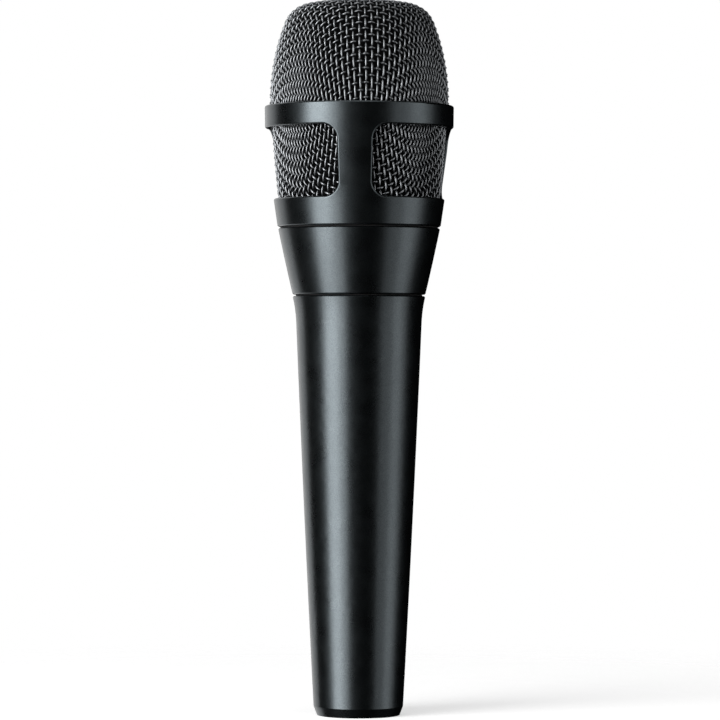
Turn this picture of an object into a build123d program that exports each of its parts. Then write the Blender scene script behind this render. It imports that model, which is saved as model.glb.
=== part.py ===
from build123d import *

# Handheld dynamic vocal microphone, built as separate pieces. Millimetres, +Z up the long axis.
# The origin is the centre of the handle's base rim. The front of the grille, where its plain rib
# stands, faces -Y. Each function makes one sub-part, and the last block writes one STEP for each.

import math
import os

# ---------------------------------------------------------------- driving dimensions

# Shared fits
slip = 0.05  # radial clearance where two pieces are pushed or screwed together
ease = 0.1  # clearance round cloth, foam and wire mesh
seam_gap = 0.4  # open joint line between two casings
seam_chamfer = 0.3  # broken edge on each side of a joint line

# Three-pin connector insert, a standard size
socket_radius = 8.15
connector_wall = 1.45
insert_length = 22.0
insert_inset = 0.5  # the insert's mouth stands this far inside the base rim
insulator_height = 6.2
pin_radius = 1.19
pin_shank_radius = 1.45  # thicker part held in the insulator, with the solder cup
pin_cup_wall = 0.5
pin_cup_depth = 2.0
pin_circle_radius = 4.75
pin_reach = 14.0
pin_tail = 3.6
pin_tip_round = 0.5
pin_spread = 115.0  # degrees between pin 3 and each of the others
key_width = 1.8
key_height = 0.8
key_length = 9.0
key_inset = 1.0  # how far the key rib stops short of the insulator
latch_groove_height = 1.8
latch_groove_depth = 0.5
latch_groove_inset = 3.1
stop_ring_height = 2.0
stop_ring_depth = 1.0  # how far the handle's stop ring stands over the insert's end
tag_thickness = 0.4
tag_width = 2.4
tag_rim = 0.7  # width of the tag's eye round the pin
tag_overlap = 0.4  # how far the tag lies on the connector's shell
screw_radius = 1.25
screw_height = 19.4
screw_reach = 1.35  # how far the lock screw enters the connector's shell
screw_length = 3.6
screw_slot_width = 0.4
screw_slot_depth = 0.5

# Handle, a tapered die casting
handle_length = 110.7
base_rim_width = 1.3
base_chamfer_height = 2.4
base_chamfer_depth = 0.9
handle_flare_length = 6.4  # below the handle's top, where the taper turns into the flare
handle_flare_radius = 16.62
handle_top_radius = 17.5
handle_taper_bulge = 0.155  # how far the taper stands out of a straight line
handle_flare_hollow = 0.13  # how far the flare falls inside a straight line
handle_wall = 2.4
spigot_bore_depth = 10.2
spigot_step = 0.5  # ledge under the neck's spigot

# Neck ring between the handle and the grille
neck_height = 17.5
neck_bottom_step = 0.12  # how far the neck's foot stands out past the handle's top
neck_top_radius = 21.35
neck_bulge = 0.06
spigot_inset = 3.0  # lower spigot, glued into the handle, inside the handle's top radius
spigot_wall = 1.6
neck_spigot_length = 9.6
mount_shelf_height = 11.9  # shelf for the shock mount, above the neck's lower edge
thread_inset = 2.2  # upper spigot, which carries the grille thread, inside the neck's top
thread_wall = 1.95
thread_length = 5.3
thread_lead_in = 0.4

# Grille cage: collar, three ribs and band in one casting
collar_step = 0.2  # how far the collar's foot stands out past the neck's top
collar_height = 7.4
collar_wall = 0.97
cage_straight_height = 19.0  # how far the collar's slope runs straight up
cage_bend_height = 8.7  # how far above that it turns upright
band_radius = 25.0
band_wall = 1.1
band_draft = 0.05  # the band is this much smaller in radius at its lower edge
band_height = 5.9
band_top_round = 0.5
window_height = 18.6
window_corner_radius = 4.0
window_edge_round = 0.5
rib_count = 3
rib_width = 8.9
seal_recess_depth = 1.2  # recess under the collar for the seal ring
seal_recess_height = 0.95
mesh_seat_height = 5.6  # ledge for the lower mesh, above the collar's lower edge
mesh_ledge_height = 3.9  # ledge for the upper mesh, below the band's top
mesh_ledge_width = 0.5

# Wire mesh, as shells of the weave's full thickness. About every fourth wire stands out of the sheet.
mesh_thickness = 1.1
wire_relief = 0.5  # how far a wire stands out
wire_width = 0.55
wire_pitch = 6.1  # from one of these wires to the next
crown_net_side = 4  # gaps along a side of the crown's square net, before its corners are left off
crown_net_turn = 7.0  # degrees between that net and the front rib
bowl_bulge = 0.2
dome_rim_height = 1.5  # plain cylinder between the band's top and the curved wall
dome_wall_radius = 55.8
dome_wall_turn = 21.7  # degrees the wall leans in by, where it meets the shoulder
dome_shoulder_radius = 8.1
dome_height = 28.3  # the crown's top above the band's top

# Foam liners
foam_thickness = 3.0
foam_gap = 0.2  # between the foam cap and the foam sleeve

# Seal ring
seal_section_radius = 0.5

# Cartridge: body, motor and diaphragm
stem_clearance = 1.25  # between the stem and the neck's bore
stem_wall = 1.25
stem_length = 27.5
stem_drop = 2.9  # how far the stem's end hangs below the neck's lower edge
head_step = 2.35  # how far the head stands out past the stem
head_rim_wall = 0.6
motor_floor_height = 3.0
yoke_inset = 1.45  # the yoke inside the stem's outer radius
yoke_wall = 1.9
yoke_floor = 2.5
magnet_radius = 6.2
magnet_height = 5.0
pole_overhang = 0.4  # the pole piece past the magnet
pole_edge = 0.2
plate_height = 2.5
air_gap = 1.1
coil_thickness = 0.25
coil_height = 3.2
coil_landing = 0.3  # flat ring of the diaphragm on each side of the coil
diaphragm_thickness = 0.2
diaphragm_lift = 1.3  # diaphragm seat above the motor's front plate
dome_rise = 1.7
surround_rise = 0.9
diaphragm_rim_width = 0.6
port_count = 6
port_radius = 0.9
port_inset = 0.6  # wall between a port and the motor
port_floor_height = 2.3  # above the motor's seat
port_slot_height = 3.0
cloth_thickness = 0.3
cap_wall = 0.85
cap_skirt = 3.1
cap_room = 2.7  # free height over the diaphragm's rim
cap_plate = 1.5
cap_hole_radius = 2.2
cap_slot_count = 8
cap_slot_radius = 8.2
cap_slot_width = 1.6
cap_slot_length = 5.0
screen_inset = 1.6
screen_thickness = 0.3
rear_cap_height = 2.0

# Shock mount and its clamp ring
mount_flange_width = 1.9
mount_flange_height = 1.9
mount_sleeve_wall = 1.2
mount_sleeve_height = 5.4
mount_sleeve_lift = 2.6
mount_web = 0.9
clamp_width = 1.7
clamp_height = 3.0
clamp_notch_depth = 1.2
clamp_notch_width = 2.4

# Output transformer
core_width = 16.0
core_depth = 6.0
core_height = 14.0
core_leg = 3.0
core_centre_leg = 5.0
core_yoke = 3.0
bobbin_wall = 0.6
winding_build = 1.7
winding_corner = 1.0
transformer_height = 73.0  # its centre above the base rim
pad_height = 18.0

# Leads and solder lugs
lead_radius = 0.45
lead_gap = 0.15  # clear space between a lead's end and what it is soldered to
lead_rise = 6.0  # straight run out of a pin or a lug
lead_half_spread = 1.6  # half the distance between a pair of leads on the bobbin
lead_bow = 2.2
lug_width = 1.4
lug_thickness = 0.4
lug_length = 2.6
lug_offset = 3.4
lug_tab = 1.0  # how far the lug stands above the rear cap
lug_eye_radius = 0.35
lug_eye_inset = 0.7

# ---------------------------------------------------------------- derived radii and levels

insert_radius = socket_radius + connector_wall
stop_ring_radius = insert_radius - stop_ring_depth
base_rim_radius = insert_radius + slip + base_rim_width
handle_base_radius = base_rim_radius + base_chamfer_depth
neck_bottom_radius = handle_top_radius + neck_bottom_step
neck_spigot_radius = handle_top_radius - spigot_inset
neck_bore_radius = neck_spigot_radius - spigot_wall
thread_radius = neck_top_radius - thread_inset
thread_bore_radius = thread_radius + slip
mount_shelf_radius = thread_radius - thread_wall
collar_bottom_radius = neck_top_radius + collar_step
dome_radius = band_radius - band_wall - ease
bowl_top_radius = dome_radius - mesh_ledge_width
stem_radius = neck_bore_radius - stem_clearance
head_radius = stem_radius + head_step
yoke_radius = stem_radius - yoke_inset
port_circle_radius = yoke_radius + slip + port_inset + port_radius
pole_radius = magnet_radius + pole_overhang
gap_radius = pole_radius + air_gap
coil_radius = pole_radius + (air_gap - coil_thickness) / 2
diaphragm_radius = head_radius - head_rim_wall - slip
screen_radius = head_radius - screen_inset

spigot_floor_z = handle_length - spigot_bore_depth
handle_flare_z = handle_length - handle_flare_length
neck_z = handle_length + seam_gap
neck_top_z = neck_z + neck_height
collar_z = neck_top_z + seam_gap
window_z = collar_z + collar_height
band_z = window_z + window_height
band_top_z = band_z + band_height
mesh_seat_z = collar_z + mesh_seat_height
mesh_ledge_z = band_top_z - mesh_ledge_height
shelf_z = neck_z + mount_shelf_height
insert_top_z = insert_inset + insert_length
insulator_z = insert_top_z - insulator_height
stem_z = neck_z - stem_drop
head_z = stem_z + stem_length
motor_z = head_z + motor_floor_height
magnet_z = motor_z + yoke_floor
pole_z = magnet_z + magnet_height
plate_top_z = pole_z + plate_height
diaphragm_z = plate_top_z + diaphragm_lift
cap_z = diaphragm_z + diaphragm_thickness + cap_room
transformer_low_z = transformer_height - core_height / 2
bobbin_z = transformer_low_z + core_yoke
bobbin_height = core_height - 2 * core_yoke


def cage_lean():
    """Half the cage's slope, as a tangent, so that its straight run and its arc reach the band."""
    widening = band_radius - band_draft - collar_bottom_radius
    half = 0.0
    # The straight run widens by its height times tan(slope), the arc by its height times tan(slope / 2).
    for _ in range(12):
        half = widening / (2 * cage_straight_height / (1 - half**2) + cage_bend_height)
    return half


cage_slope = 2 * math.atan(cage_lean())
bowl_bottom_radius = collar_bottom_radius + mesh_seat_height * math.tan(cage_slope) - collar_wall - ease


def handle_bore_at(z):
    """Inner radius of the handle's cavity at a height: a straight taper up to the spigot's ledge."""
    low = handle_base_radius - handle_wall
    high = neck_spigot_radius + slip - spigot_step
    return low + (high - low) * z / spigot_floor_z


def cage_outline():
    """Points of the cage's outside: straight slope, then an arc that ends upright in the band."""
    bend_r = collar_bottom_radius + cage_straight_height * math.tan(cage_slope)
    bend_z = collar_z + cage_straight_height
    arc_radius = cage_bend_height / math.sin(cage_slope)
    low_band = band_radius - band_draft
    half = cage_slope / 2
    middle = (
        low_band - arc_radius * (1 - math.cos(half)),
        bend_z + arc_radius * (math.sin(cage_slope) - math.sin(half)),
    )
    return (bend_r, bend_z), middle, (low_band, bend_z + cage_bend_height)


# ---------------------------------------------------------------- shared shape helpers

upright = (Align.CENTER, Align.CENTER, Align.MIN)  # centred in plan, standing on its lower end


def turned(*points):
    """A solid of revolution about Z from a closed outline of (radius, height) corners."""
    outline = Polyline(*[(r, 0, z) for r, z in points], close=True)
    return revolve(make_face(outline), Axis.Z)


def turned_edges(*edges, sector=360):
    """A solid of revolution about Z, or a sector of one, from edges that close into one outline."""
    return revolve(make_face(Wire(edges)), Axis.Z, revolution_arc=sector)


def line(a, b):
    return Line((a[0], 0, a[1]), (b[0], 0, b[1]))


def arc(a, middle, b):
    return ThreePointArc((a[0], 0, a[1]), (middle[0], 0, middle[1]), (b[0], 0, b[1]))


def between(a, b, bulge=0.0):
    """The point halfway from a to b, moved out in radius by bulge."""
    return ((a[0] + b[0]) / 2 + bulge, (a[1] + b[1]) / 2)


def disc(radius, z0, z1, at=(0, 0)):
    """An upright cylinder between two heights."""
    return Pos(at[0], at[1], z0) * Cylinder(radius, z1 - z0, align=upright)


def block(width, depth, z0, z1, at=(0, 0)):
    """An upright box between two heights."""
    return Pos(at[0], at[1], z0) * Box(width, depth, z1 - z0, align=upright)


def shallow_arc(edge_radius, edge_z, rise):
    """The middle and the top of an arc over the axis, from a point at its edge."""
    radius = (edge_radius**2 + rise**2) / (2 * rise)
    half = math.asin(edge_radius / radius) / 2
    centre_z = edge_z + rise - radius
    middle = (radius * math.sin(half), centre_z + radius * math.cos(half))
    return middle, (0, edge_z + rise)


def tube_along(points, radius):
    """A round lead along straight runs joined by tangent arcs as large as the runs allow."""
    corners = [Vector(*p) for p in points]
    radii = []
    for before, here, after in zip(corners, corners[1:], corners[2:]):
        turn = math.radians((here - before).get_angle(after - here))
        shorter = min((here - before).length, (after - here).length)
        radii.append(0.45 * shorter / math.tan(turn / 2))
    path = FilletPolyline(*points, radius=radii)
    start = Plane(origin=path @ 0, z_dir=path % 0)
    return sweep(start * Circle(radius), path=path)


def pin_place(number):
    """Where a connector pin stands: pin 3 towards -Y, the other two spread from it."""
    turn = {1: pin_spread, 2: -pin_spread, 3: 0.0}[number]
    angle = math.radians(-90 + turn)
    return (pin_circle_radius * math.cos(angle), pin_circle_radius * math.sin(angle))


# ---------------------------------------------------------------- casings


def make_handle():
    """Tapered handle: base chamfer, bulged taper, flare, cavity, connector bore and spigot bore."""
    rim = (base_rim_radius, 0)
    chamfer_top = (handle_base_radius, base_chamfer_height)
    flare = (handle_flare_radius, handle_flare_z)
    top = (handle_top_radius, handle_length - seam_chamfer)
    lip = (handle_top_radius - seam_chamfer, handle_length)
    bore_radius = insert_radius + slip
    spigot_bore = neck_spigot_radius + slip
    stop_z = insert_top_z + stop_ring_height
    cavity_low = (handle_bore_at(stop_z), stop_z)
    cavity_high = (handle_bore_at(spigot_floor_z), spigot_floor_z)
    body = turned_edges(
        line((bore_radius, 0), rim),
        line(rim, chamfer_top),
        arc(chamfer_top, between(chamfer_top, flare, handle_taper_bulge), flare),
        arc(flare, between(flare, top, -handle_flare_hollow), top),
        line(top, lip),
        line(lip, (spigot_bore, handle_length)),
        line((spigot_bore, handle_length), (spigot_bore, spigot_floor_z)),
        line((spigot_bore, spigot_floor_z), cavity_high),
        line(cavity_high, cavity_low),
        line(cavity_low, (stop_ring_radius, stop_z)),
        line((stop_ring_radius, stop_z), (stop_ring_radius, insert_top_z + slip)),
        line((stop_ring_radius, insert_top_z + slip), (bore_radius, insert_top_z + slip)),
        line((bore_radius, insert_top_z + slip), (bore_radius, 0)),
    )
    return body - lock_screw_hole(insert_radius, handle_top_radius)


def make_neck():
    """Neck ring: glued spigot below, shelf for the shock mount, threaded spigot above."""
    low = (neck_bottom_radius, neck_z + seam_chamfer)
    high = (neck_top_radius, neck_top_z - seam_chamfer)
    thread_z = neck_top_z + thread_length
    foot_z = neck_z - neck_spigot_length
    return turned_edges(
        line((neck_bore_radius, foot_z), (neck_spigot_radius, foot_z)),
        line((neck_spigot_radius, foot_z), (neck_spigot_radius, neck_z)),
        line((neck_spigot_radius, neck_z), (neck_bottom_radius - seam_chamfer, neck_z)),
        line((neck_bottom_radius - seam_chamfer, neck_z), low),
        arc(low, between(low, high, neck_bulge), high),
        line(high, (neck_top_radius - seam_chamfer, neck_top_z)),
        line((neck_top_radius - seam_chamfer, neck_top_z), (thread_radius, neck_top_z)),
        line((thread_radius, neck_top_z), (thread_radius, thread_z - thread_lead_in)),
        line((thread_radius, thread_z - thread_lead_in), (thread_radius - thread_lead_in, thread_z)),
        line((thread_radius - thread_lead_in, thread_z), (mount_shelf_radius, thread_z)),
        line((mount_shelf_radius, thread_z), (mount_shelf_radius, shelf_z)),
        line((mount_shelf_radius, shelf_z), (neck_bore_radius, shelf_z)),
        line((neck_bore_radius, shelf_z), (neck_bore_radius, foot_z)),
    )


def window_cutter(turn):
    """One window of the cage: a sector between two ribs, with round corners."""
    reach = band_radius * 1.5
    middle_radius = (collar_bottom_radius + band_radius) / 2
    rib_half = math.degrees(math.asin(rib_width / 2 / middle_radius))
    sector = 360 / rib_count - 2 * rib_half
    corners = [(0, 0, window_z), (reach, 0, window_z), (reach, 0, band_z), (0, 0, band_z)]
    outline = Polyline(*corners, close=True)
    wedge = revolve(make_face(outline), Axis.Z, revolution_arc=sector)
    straight = wedge.edges().filter_by(GeomType.LINE)
    radial = straight.filter_by(lambda edge: abs(edge.tangent_at(0).Z) < 0.01)
    wedge = fillet(radial, window_corner_radius)
    return Rot(0, 0, -90 + rib_half + turn) * wedge


def is_window_rim(edge):
    """Whether an edge of the cage runs round the outside of a window."""
    box = edge.bounding_box()
    if box.min.Z < window_z - 0.01 or box.max.Z > band_z + 0.01:
        return False
    middle = edge @ 0.5
    up = (middle.Z - mesh_seat_z) / (mesh_ledge_z - mesh_seat_z)
    bore = bowl_bottom_radius + up * (bowl_top_radius - bowl_bottom_radius) + bowl_bulge
    if math.hypot(middle.X, middle.Y) < bore + collar_wall / 3:
        return False
    # A level edge counts only along a window's sill or head, not across its thickness or a rib.
    level = box.max.Z - box.min.Z < 0.01
    on_edge = min(abs(middle.Z - window_z), abs(middle.Z - band_z)) < 0.01
    return not level or (on_edge and edge.geom_type != GeomType.LINE)


def make_cage():
    """Grille cage: threaded collar, ribs and band turned as one shell, with the windows cut out."""
    bend, middle, low_band = cage_outline()
    foot = (collar_bottom_radius - seam_chamfer, collar_z)
    skirt_flare = seam_chamfer * math.tan(cage_slope)
    skirt = (collar_bottom_radius + skirt_flare, collar_z + seam_chamfer)
    band_top = (band_radius, band_top_z - band_top_round)
    corner = band_top_round * (1 - math.sqrt(0.5))
    band_in = (band_radius - band_top_round, band_top_z)
    bowl_low = (bowl_bottom_radius + ease, mesh_seat_z)
    bowl_high = (bowl_top_radius + ease, mesh_ledge_z)
    dome_seat = dome_radius + ease
    shell = turned_edges(
        line((thread_bore_radius + seal_recess_depth, collar_z), foot),
        line(foot, skirt),
        line(skirt, bend),
        arc(bend, middle, low_band),
        line(low_band, band_top),
        arc(band_top, (band_radius - corner, band_top_z - corner), band_in),
        line(band_in, (dome_seat, band_top_z)),
        line((dome_seat, band_top_z), (dome_seat, mesh_ledge_z)),
        line((dome_seat, mesh_ledge_z), bowl_high),
        arc(bowl_high, between(bowl_high, bowl_low, bowl_bulge), bowl_low),
        line(bowl_low, (thread_bore_radius, mesh_seat_z)),
        line((thread_bore_radius, mesh_seat_z), (thread_bore_radius, collar_z + seal_recess_height)),
        line(
            (thread_bore_radius, collar_z + seal_recess_height),
            (thread_bore_radius + seal_recess_depth, collar_z + seal_recess_height),
        ),
        line(
            (thread_bore_radius + seal_recess_depth, collar_z + seal_recess_height),
            (thread_bore_radius + seal_recess_depth, collar_z),
        ),
    )
    for rib in range(rib_count):
        shell -= window_cutter(360 / rib_count * rib)
    return fillet(shell.edges().filter_by(is_window_rim), window_edge_round)



def offset_point(point, normal, inward):
    """A point moved inward along a unit normal of (radius, height)."""
    return (point[0] - normal[0] * inward, point[1] - normal[1] * inward)


def on_arc(centre, radius, angle):
    """The point of (radius, height) at an angle, in radians, on an arc about a centre."""
    return (centre[0] + radius * math.cos(angle), centre[1] + radius * math.sin(angle))


def dome_arcs():
    """Centre, radius and both end angles of the upper mesh's wall, shoulder and crown arcs."""
    lean = math.radians(dome_wall_turn)
    wall_z = band_top_z + dome_rim_height
    top_z = band_top_z + dome_height
    # The wall turns in about a centre at its own foot's height.
    wall_centre = (dome_radius - dome_wall_radius, wall_z)
    shoulder_centre = on_arc(wall_centre, dome_wall_radius - dome_shoulder_radius, lean)
    # The crown's centre lies on the axis, where its arc touches both the shoulder and the top.
    drop = top_z - shoulder_centre[1]
    reach = shoulder_centre[0] ** 2 + drop**2 - dome_shoulder_radius**2
    crown_radius = reach / (2 * (drop - dome_shoulder_radius))
    crown_centre = (0, top_z - crown_radius)
    rise = math.atan2(shoulder_centre[1] - crown_centre[1], shoulder_centre[0])
    return (
        (wall_centre, dome_wall_radius, 0.0, lean),
        (shoulder_centre, dome_shoulder_radius, lean, rise),
        (crown_centre, crown_radius, rise, math.pi / 2),
    )


def dome_profile(inward):
    """Edges of the upper mesh's outline, moved inward, from its rim to the axis, and its ends."""
    edges = []
    for centre, radius, first, last in dome_arcs():
        points = [on_arc(centre, radius - inward, angle) for angle in (first, (first + last) / 2, last)]
        edges.append(arc(*points))
    foot = (dome_radius - inward, band_top_z + dome_rim_height)
    peak = (0, band_top_z + dome_height - inward)
    return foot, peak, edges


def dome_shell(outer_inward, inner_inward, foot_z):
    """A closed cap between two inward offsets of the upper mesh's outline, standing on foot_z."""
    foot_out, peak_out, edges_out = dome_profile(outer_inward)
    foot_in, peak_in, edges_in = dome_profile(inner_inward)
    rim = [
        line(foot_in, (foot_in[0], foot_z)),
        line((foot_in[0], foot_z), (foot_out[0], foot_z)),
        line((foot_out[0], foot_z), foot_out),
    ]
    return turned_edges(*edges_in, line(peak_in, peak_out), *edges_out, *rim)


def bowl_shell(outer_inward, inner_inward, low_z, high_z, sector=360):
    """A sleeve, or a sector of one, between two inward offsets of the lower mesh's outline."""
    low_out = (bowl_bottom_radius - outer_inward, low_z)
    high_out = (bowl_top_radius - outer_inward, high_z)
    low_in = (bowl_bottom_radius - inner_inward, low_z)
    high_in = (bowl_top_radius - inner_inward, high_z)
    return turned_edges(
        line(low_in, low_out),
        arc(low_out, between(low_out, high_out, bowl_bulge), high_out),
        line(high_out, high_in),
        arc(high_in, between(low_in, high_in, bowl_bulge), low_in),
        sector=sector,
    )


def columns_at(radius):
    """How many upright main wires stand round the axis at a radius."""
    return round(math.tau * radius / wire_pitch)


def gap_sector(radius):
    """Degrees that the gap between two upright main wires takes at a radius."""
    return 360 / columns_at(radius) - math.degrees(wire_width / radius)


def round_the_axis(gap, radius):
    """A gap between two upright main wires, repeated round the axis."""
    count = columns_at(radius)
    return [Rot(0, 0, 360 / count * number) * gap for number in range(count)]


def arc_gaps(centre, radius, first, last, widest):
    """Rows of gaps between the main wires, along one arc of the dome's outline."""
    rows = round(radius * (last - first) / wire_pitch)
    row_turn = (last - first) / rows
    half_wire = wire_width / 2 / radius
    inner = radius - wire_relief
    outer = radius + wire_relief
    gaps = []
    for row in range(rows):
        low = first + row_turn * row + half_wire
        high = first + row_turn * (row + 1) - half_wire
        middle = (low + high) / 2
        low_in, low_out = on_arc(centre, inner, low), on_arc(centre, outer, low)
        high_in, high_out = on_arc(centre, inner, high), on_arc(centre, outer, high)
        gap = turned_edges(
            arc(low_in, on_arc(centre, inner, middle), high_in),
            line(high_in, high_out),
            arc(high_out, on_arc(centre, outer, middle), low_out),
            line(low_out, low_in),
            sector=gap_sector(widest),
        )
        gaps += round_the_axis(gap, widest)
    return gaps


def crown_gaps(centre, radius, rise):
    """Square gaps between the main wires on the crown, without those that reach the shoulder."""
    side = wire_pitch - wire_width
    low_z = centre[1] + radius * math.sin(rise) - wire_pitch
    high_z = centre[1] + radius + wire_relief
    sunk_crown = Pos(0, 0, centre[1]) * Sphere(radius - wire_relief)
    places = [(step + 0.5) * wire_pitch for step in range(-crown_net_side // 2, crown_net_side // 2)]
    gaps = []
    for x in places:
        for y in places:
            corner_radius = math.hypot(abs(x) + side / 2, abs(y) + side / 2)
            if corner_radius < radius * math.cos(rise):
                gap = block(side, side, low_z, high_z, (x, y)) - sunk_crown
                gaps.append(Rot(0, 0, crown_net_turn) * gap)
    return gaps


def make_upper_mesh():
    """Upper mesh: a dome on the cage's upper ledge, with upright and level main wires, and a net on top."""
    wall, shoulder, crown = dome_arcs()
    crown_centre, crown_radius, rise, _ = crown
    gaps = crown_gaps(crown_centre, crown_radius, rise)
    gaps += arc_gaps(*wall, dome_radius)
    gaps += arc_gaps(*shoulder, dome_radius)
    return dome_shell(0, mesh_thickness, mesh_ledge_z) - gaps


def make_lower_mesh():
    """Lower mesh: a cup from the collar's ledge to just under the upper mesh, with its main wires."""
    low_z = mesh_seat_z
    high_z = mesh_ledge_z - ease
    reach = 2 * band_radius
    rows = round(window_height / wire_pitch)
    row_height = window_height / rows
    # The sheet keeps its full thickness behind the collar and the band.
    kept = [disc(reach, low_z, window_z), disc(reach, band_z, high_z)]
    for row in range(rows):
        wire_z = window_z + row_height * row
        kept.append(disc(reach, wire_z, wire_z + wire_width))
    column = bowl_shell(-wire_relief, wire_relief, low_z, high_z, gap_sector(bowl_top_radius))
    gaps = []
    for gap in (column - kept).solids():
        gaps += round_the_axis(gap, bowl_top_radius)
    return bowl_shell(0, mesh_thickness, low_z, high_z) - gaps


def make_foam_cap():
    """Foam lining under the upper mesh."""
    start = mesh_thickness + ease
    return dome_shell(start, start + foam_thickness, mesh_ledge_z + foam_gap)


def make_foam_sleeve():
    """Foam lining behind the lower mesh."""
    start = mesh_thickness + ease
    return bowl_shell(start, start + foam_thickness, mesh_seat_z + foam_gap, mesh_ledge_z - ease)


def make_seal_ring():
    """Seal ring that lies on the neck's shoulder inside the collar's recess."""
    section = Plane.XZ * Pos(thread_bore_radius + seal_section_radius, neck_top_z + seal_section_radius)
    return revolve(section * Circle(seal_section_radius), Axis.Z)


# ---------------------------------------------------------------- cartridge


def make_cartridge_shell():
    """Turned body: stem tube below, cup for the motor above, with side ports into the head."""
    ledge_z = diaphragm_z
    recess_radius = diaphragm_radius - diaphragm_rim_width
    body = turned(
        (stem_radius - stem_wall, stem_z),
        (stem_radius, stem_z),
        (stem_radius, head_z),
        (head_radius, head_z),
        (head_radius, ledge_z + diaphragm_thickness + slip),
        (head_radius - head_rim_wall, ledge_z + diaphragm_thickness + slip),
        (head_radius - head_rim_wall, ledge_z),
        (recess_radius, ledge_z),
        (recess_radius, plate_top_z),
        (yoke_radius + slip, plate_top_z),
        (yoke_radius + slip, motor_z),
        (yoke_radius - yoke_wall, motor_z),
        (yoke_radius - yoke_wall, head_z),
        (stem_radius - stem_wall, head_z - stem_wall),
    )
    port_z = motor_z + port_floor_height
    for number in range(port_count):
        turn = Rot(0, 0, 360 / port_count * (number + 0.5))
        body -= turn * disc(port_radius, port_z, plate_top_z + 1, (port_circle_radius, 0))
        slot = block(head_radius, 2 * port_radius, port_z, port_z + port_slot_height)
        body -= turn * Pos(port_circle_radius + head_radius / 2, 0, 0) * slot
    return body


def make_port_cloth():
    """Cloth washer over the ports' inner ends, which slows the air through them."""
    outer = diaphragm_radius - diaphragm_rim_width - ease
    inner = yoke_radius + slip + ease
    return disc(outer, plate_top_z, plate_top_z + cloth_thickness) - disc(inner, 0, plate_top_z + 1)


def make_yoke():
    """Steel cup round the magnet."""
    cup = disc(yoke_radius, motor_z, pole_z)
    return cup - disc(yoke_radius - yoke_wall, magnet_z, pole_z + 1)


def make_front_plate():
    """Steel ring on the cup's rim, the outer side of the magnetic gap."""
    return disc(yoke_radius, pole_z, plate_top_z) - disc(gap_radius, pole_z - 1, plate_top_z + 1)


def make_magnet():
    """Disc magnet on the cup's floor."""
    return disc(magnet_radius, magnet_z, pole_z)


def make_pole_piece():
    """Steel disc on the magnet, the inner side of the magnetic gap, with a broken top edge."""
    pole = disc(pole_radius, pole_z, plate_top_z)
    return chamfer(pole.edges().group_by(Axis.Z)[-1], pole_edge)


def make_voice_coil():
    """Coil that hangs from the diaphragm into the magnetic gap."""
    top = diaphragm_z
    return disc(coil_radius + coil_thickness, top - coil_height, top) - disc(coil_radius, 0, top + 1)


def make_diaphragm():
    """Thin film: flat rim, rolled surround, flat landing for the coil and centre dome."""
    low = diaphragm_z
    high = low + diaphragm_thickness
    rim_in = diaphragm_radius - diaphragm_rim_width
    landing = coil_radius + coil_thickness + coil_landing
    dome_edge = coil_radius - coil_landing
    middle = (rim_in + landing) / 2
    dome_top, peak = shallow_arc(dome_edge, high, dome_rise)
    dome_under, hollow = shallow_arc(dome_edge, low, dome_rise)
    return turned_edges(
        line((diaphragm_radius, low), (diaphragm_radius, high)),
        line((diaphragm_radius, high), (rim_in, high)),
        arc((rim_in, high), (middle, high + surround_rise), (landing, high)),
        line((landing, high), (dome_edge, high)),
        arc((dome_edge, high), dome_top, peak),
        line(peak, hollow),
        arc(hollow, dome_under, (dome_edge, low)),
        line((dome_edge, low), (landing, low)),
        arc((landing, low), (middle, low + surround_rise), (rim_in, low)),
        line((rim_in, low), (diaphragm_radius, low)),
    )


def make_cap():
    """Resonator cap: holds the diaphragm's rim down, with a centre hole and a ring of slots."""
    outer = head_radius + slip + cap_wall
    rim_z = diaphragm_z + diaphragm_thickness + slip
    rim_radius = head_radius - head_rim_wall - slip
    cap = turned(
        (rim_radius - diaphragm_rim_width, rim_z),
        (head_radius, rim_z),
        (head_radius + slip, rim_z),
        (head_radius + slip, cap_z - cap_skirt),
        (outer, cap_z - cap_skirt),
        (outer, cap_z + cap_plate - cap_wall / 2),
        (outer - cap_wall / 2, cap_z + cap_plate),
        (0, cap_z + cap_plate),
        (0, cap_z),
        (rim_radius - diaphragm_rim_width, cap_z),
    )
    cap -= disc(cap_hole_radius, cap_z - 1, cap_z + cap_plate + 1)
    slot = extrude(SlotOverall(cap_slot_length, cap_slot_width), cap_plate + 2)
    slot = Pos(cap_slot_radius, 0, cap_z - 1) * slot
    for number in range(cap_slot_count):
        cap -= Rot(0, 0, 360 / cap_slot_count * number) * slot
    return cap


def make_cap_screen():
    """Round screen of fine cloth on top of the resonator cap."""
    low = cap_z + cap_plate
    return disc(screen_radius, low, low + screen_thickness)


def lug_outline(side, spare=0.0):
    """A flat solder lug through the rear cap, on the +X or -X side."""
    low = stem_z - lug_length
    high = stem_z + rear_cap_height + lug_tab
    return block(lug_width + 2 * spare, lug_thickness + 2 * spare, low, high, (side * lug_offset, 0))


def make_rear_cap():
    """Plug in the stem's lower end, with a slit for each solder lug."""
    plug = disc(stem_radius - stem_wall - slip, stem_z, stem_z + rear_cap_height)
    return plug - lug_outline(1, slip) - lug_outline(-1, slip)


def make_lug(side):
    """Solder lug with an eye in its lower end."""
    eye = Rot(90, 0, 0) * Cylinder(lug_eye_radius, 4 * lug_thickness)
    return lug_outline(side) - Pos(side * lug_offset, 0, stem_z - lug_length + lug_eye_inset) * eye


# ---------------------------------------------------------------- shock mount


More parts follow.
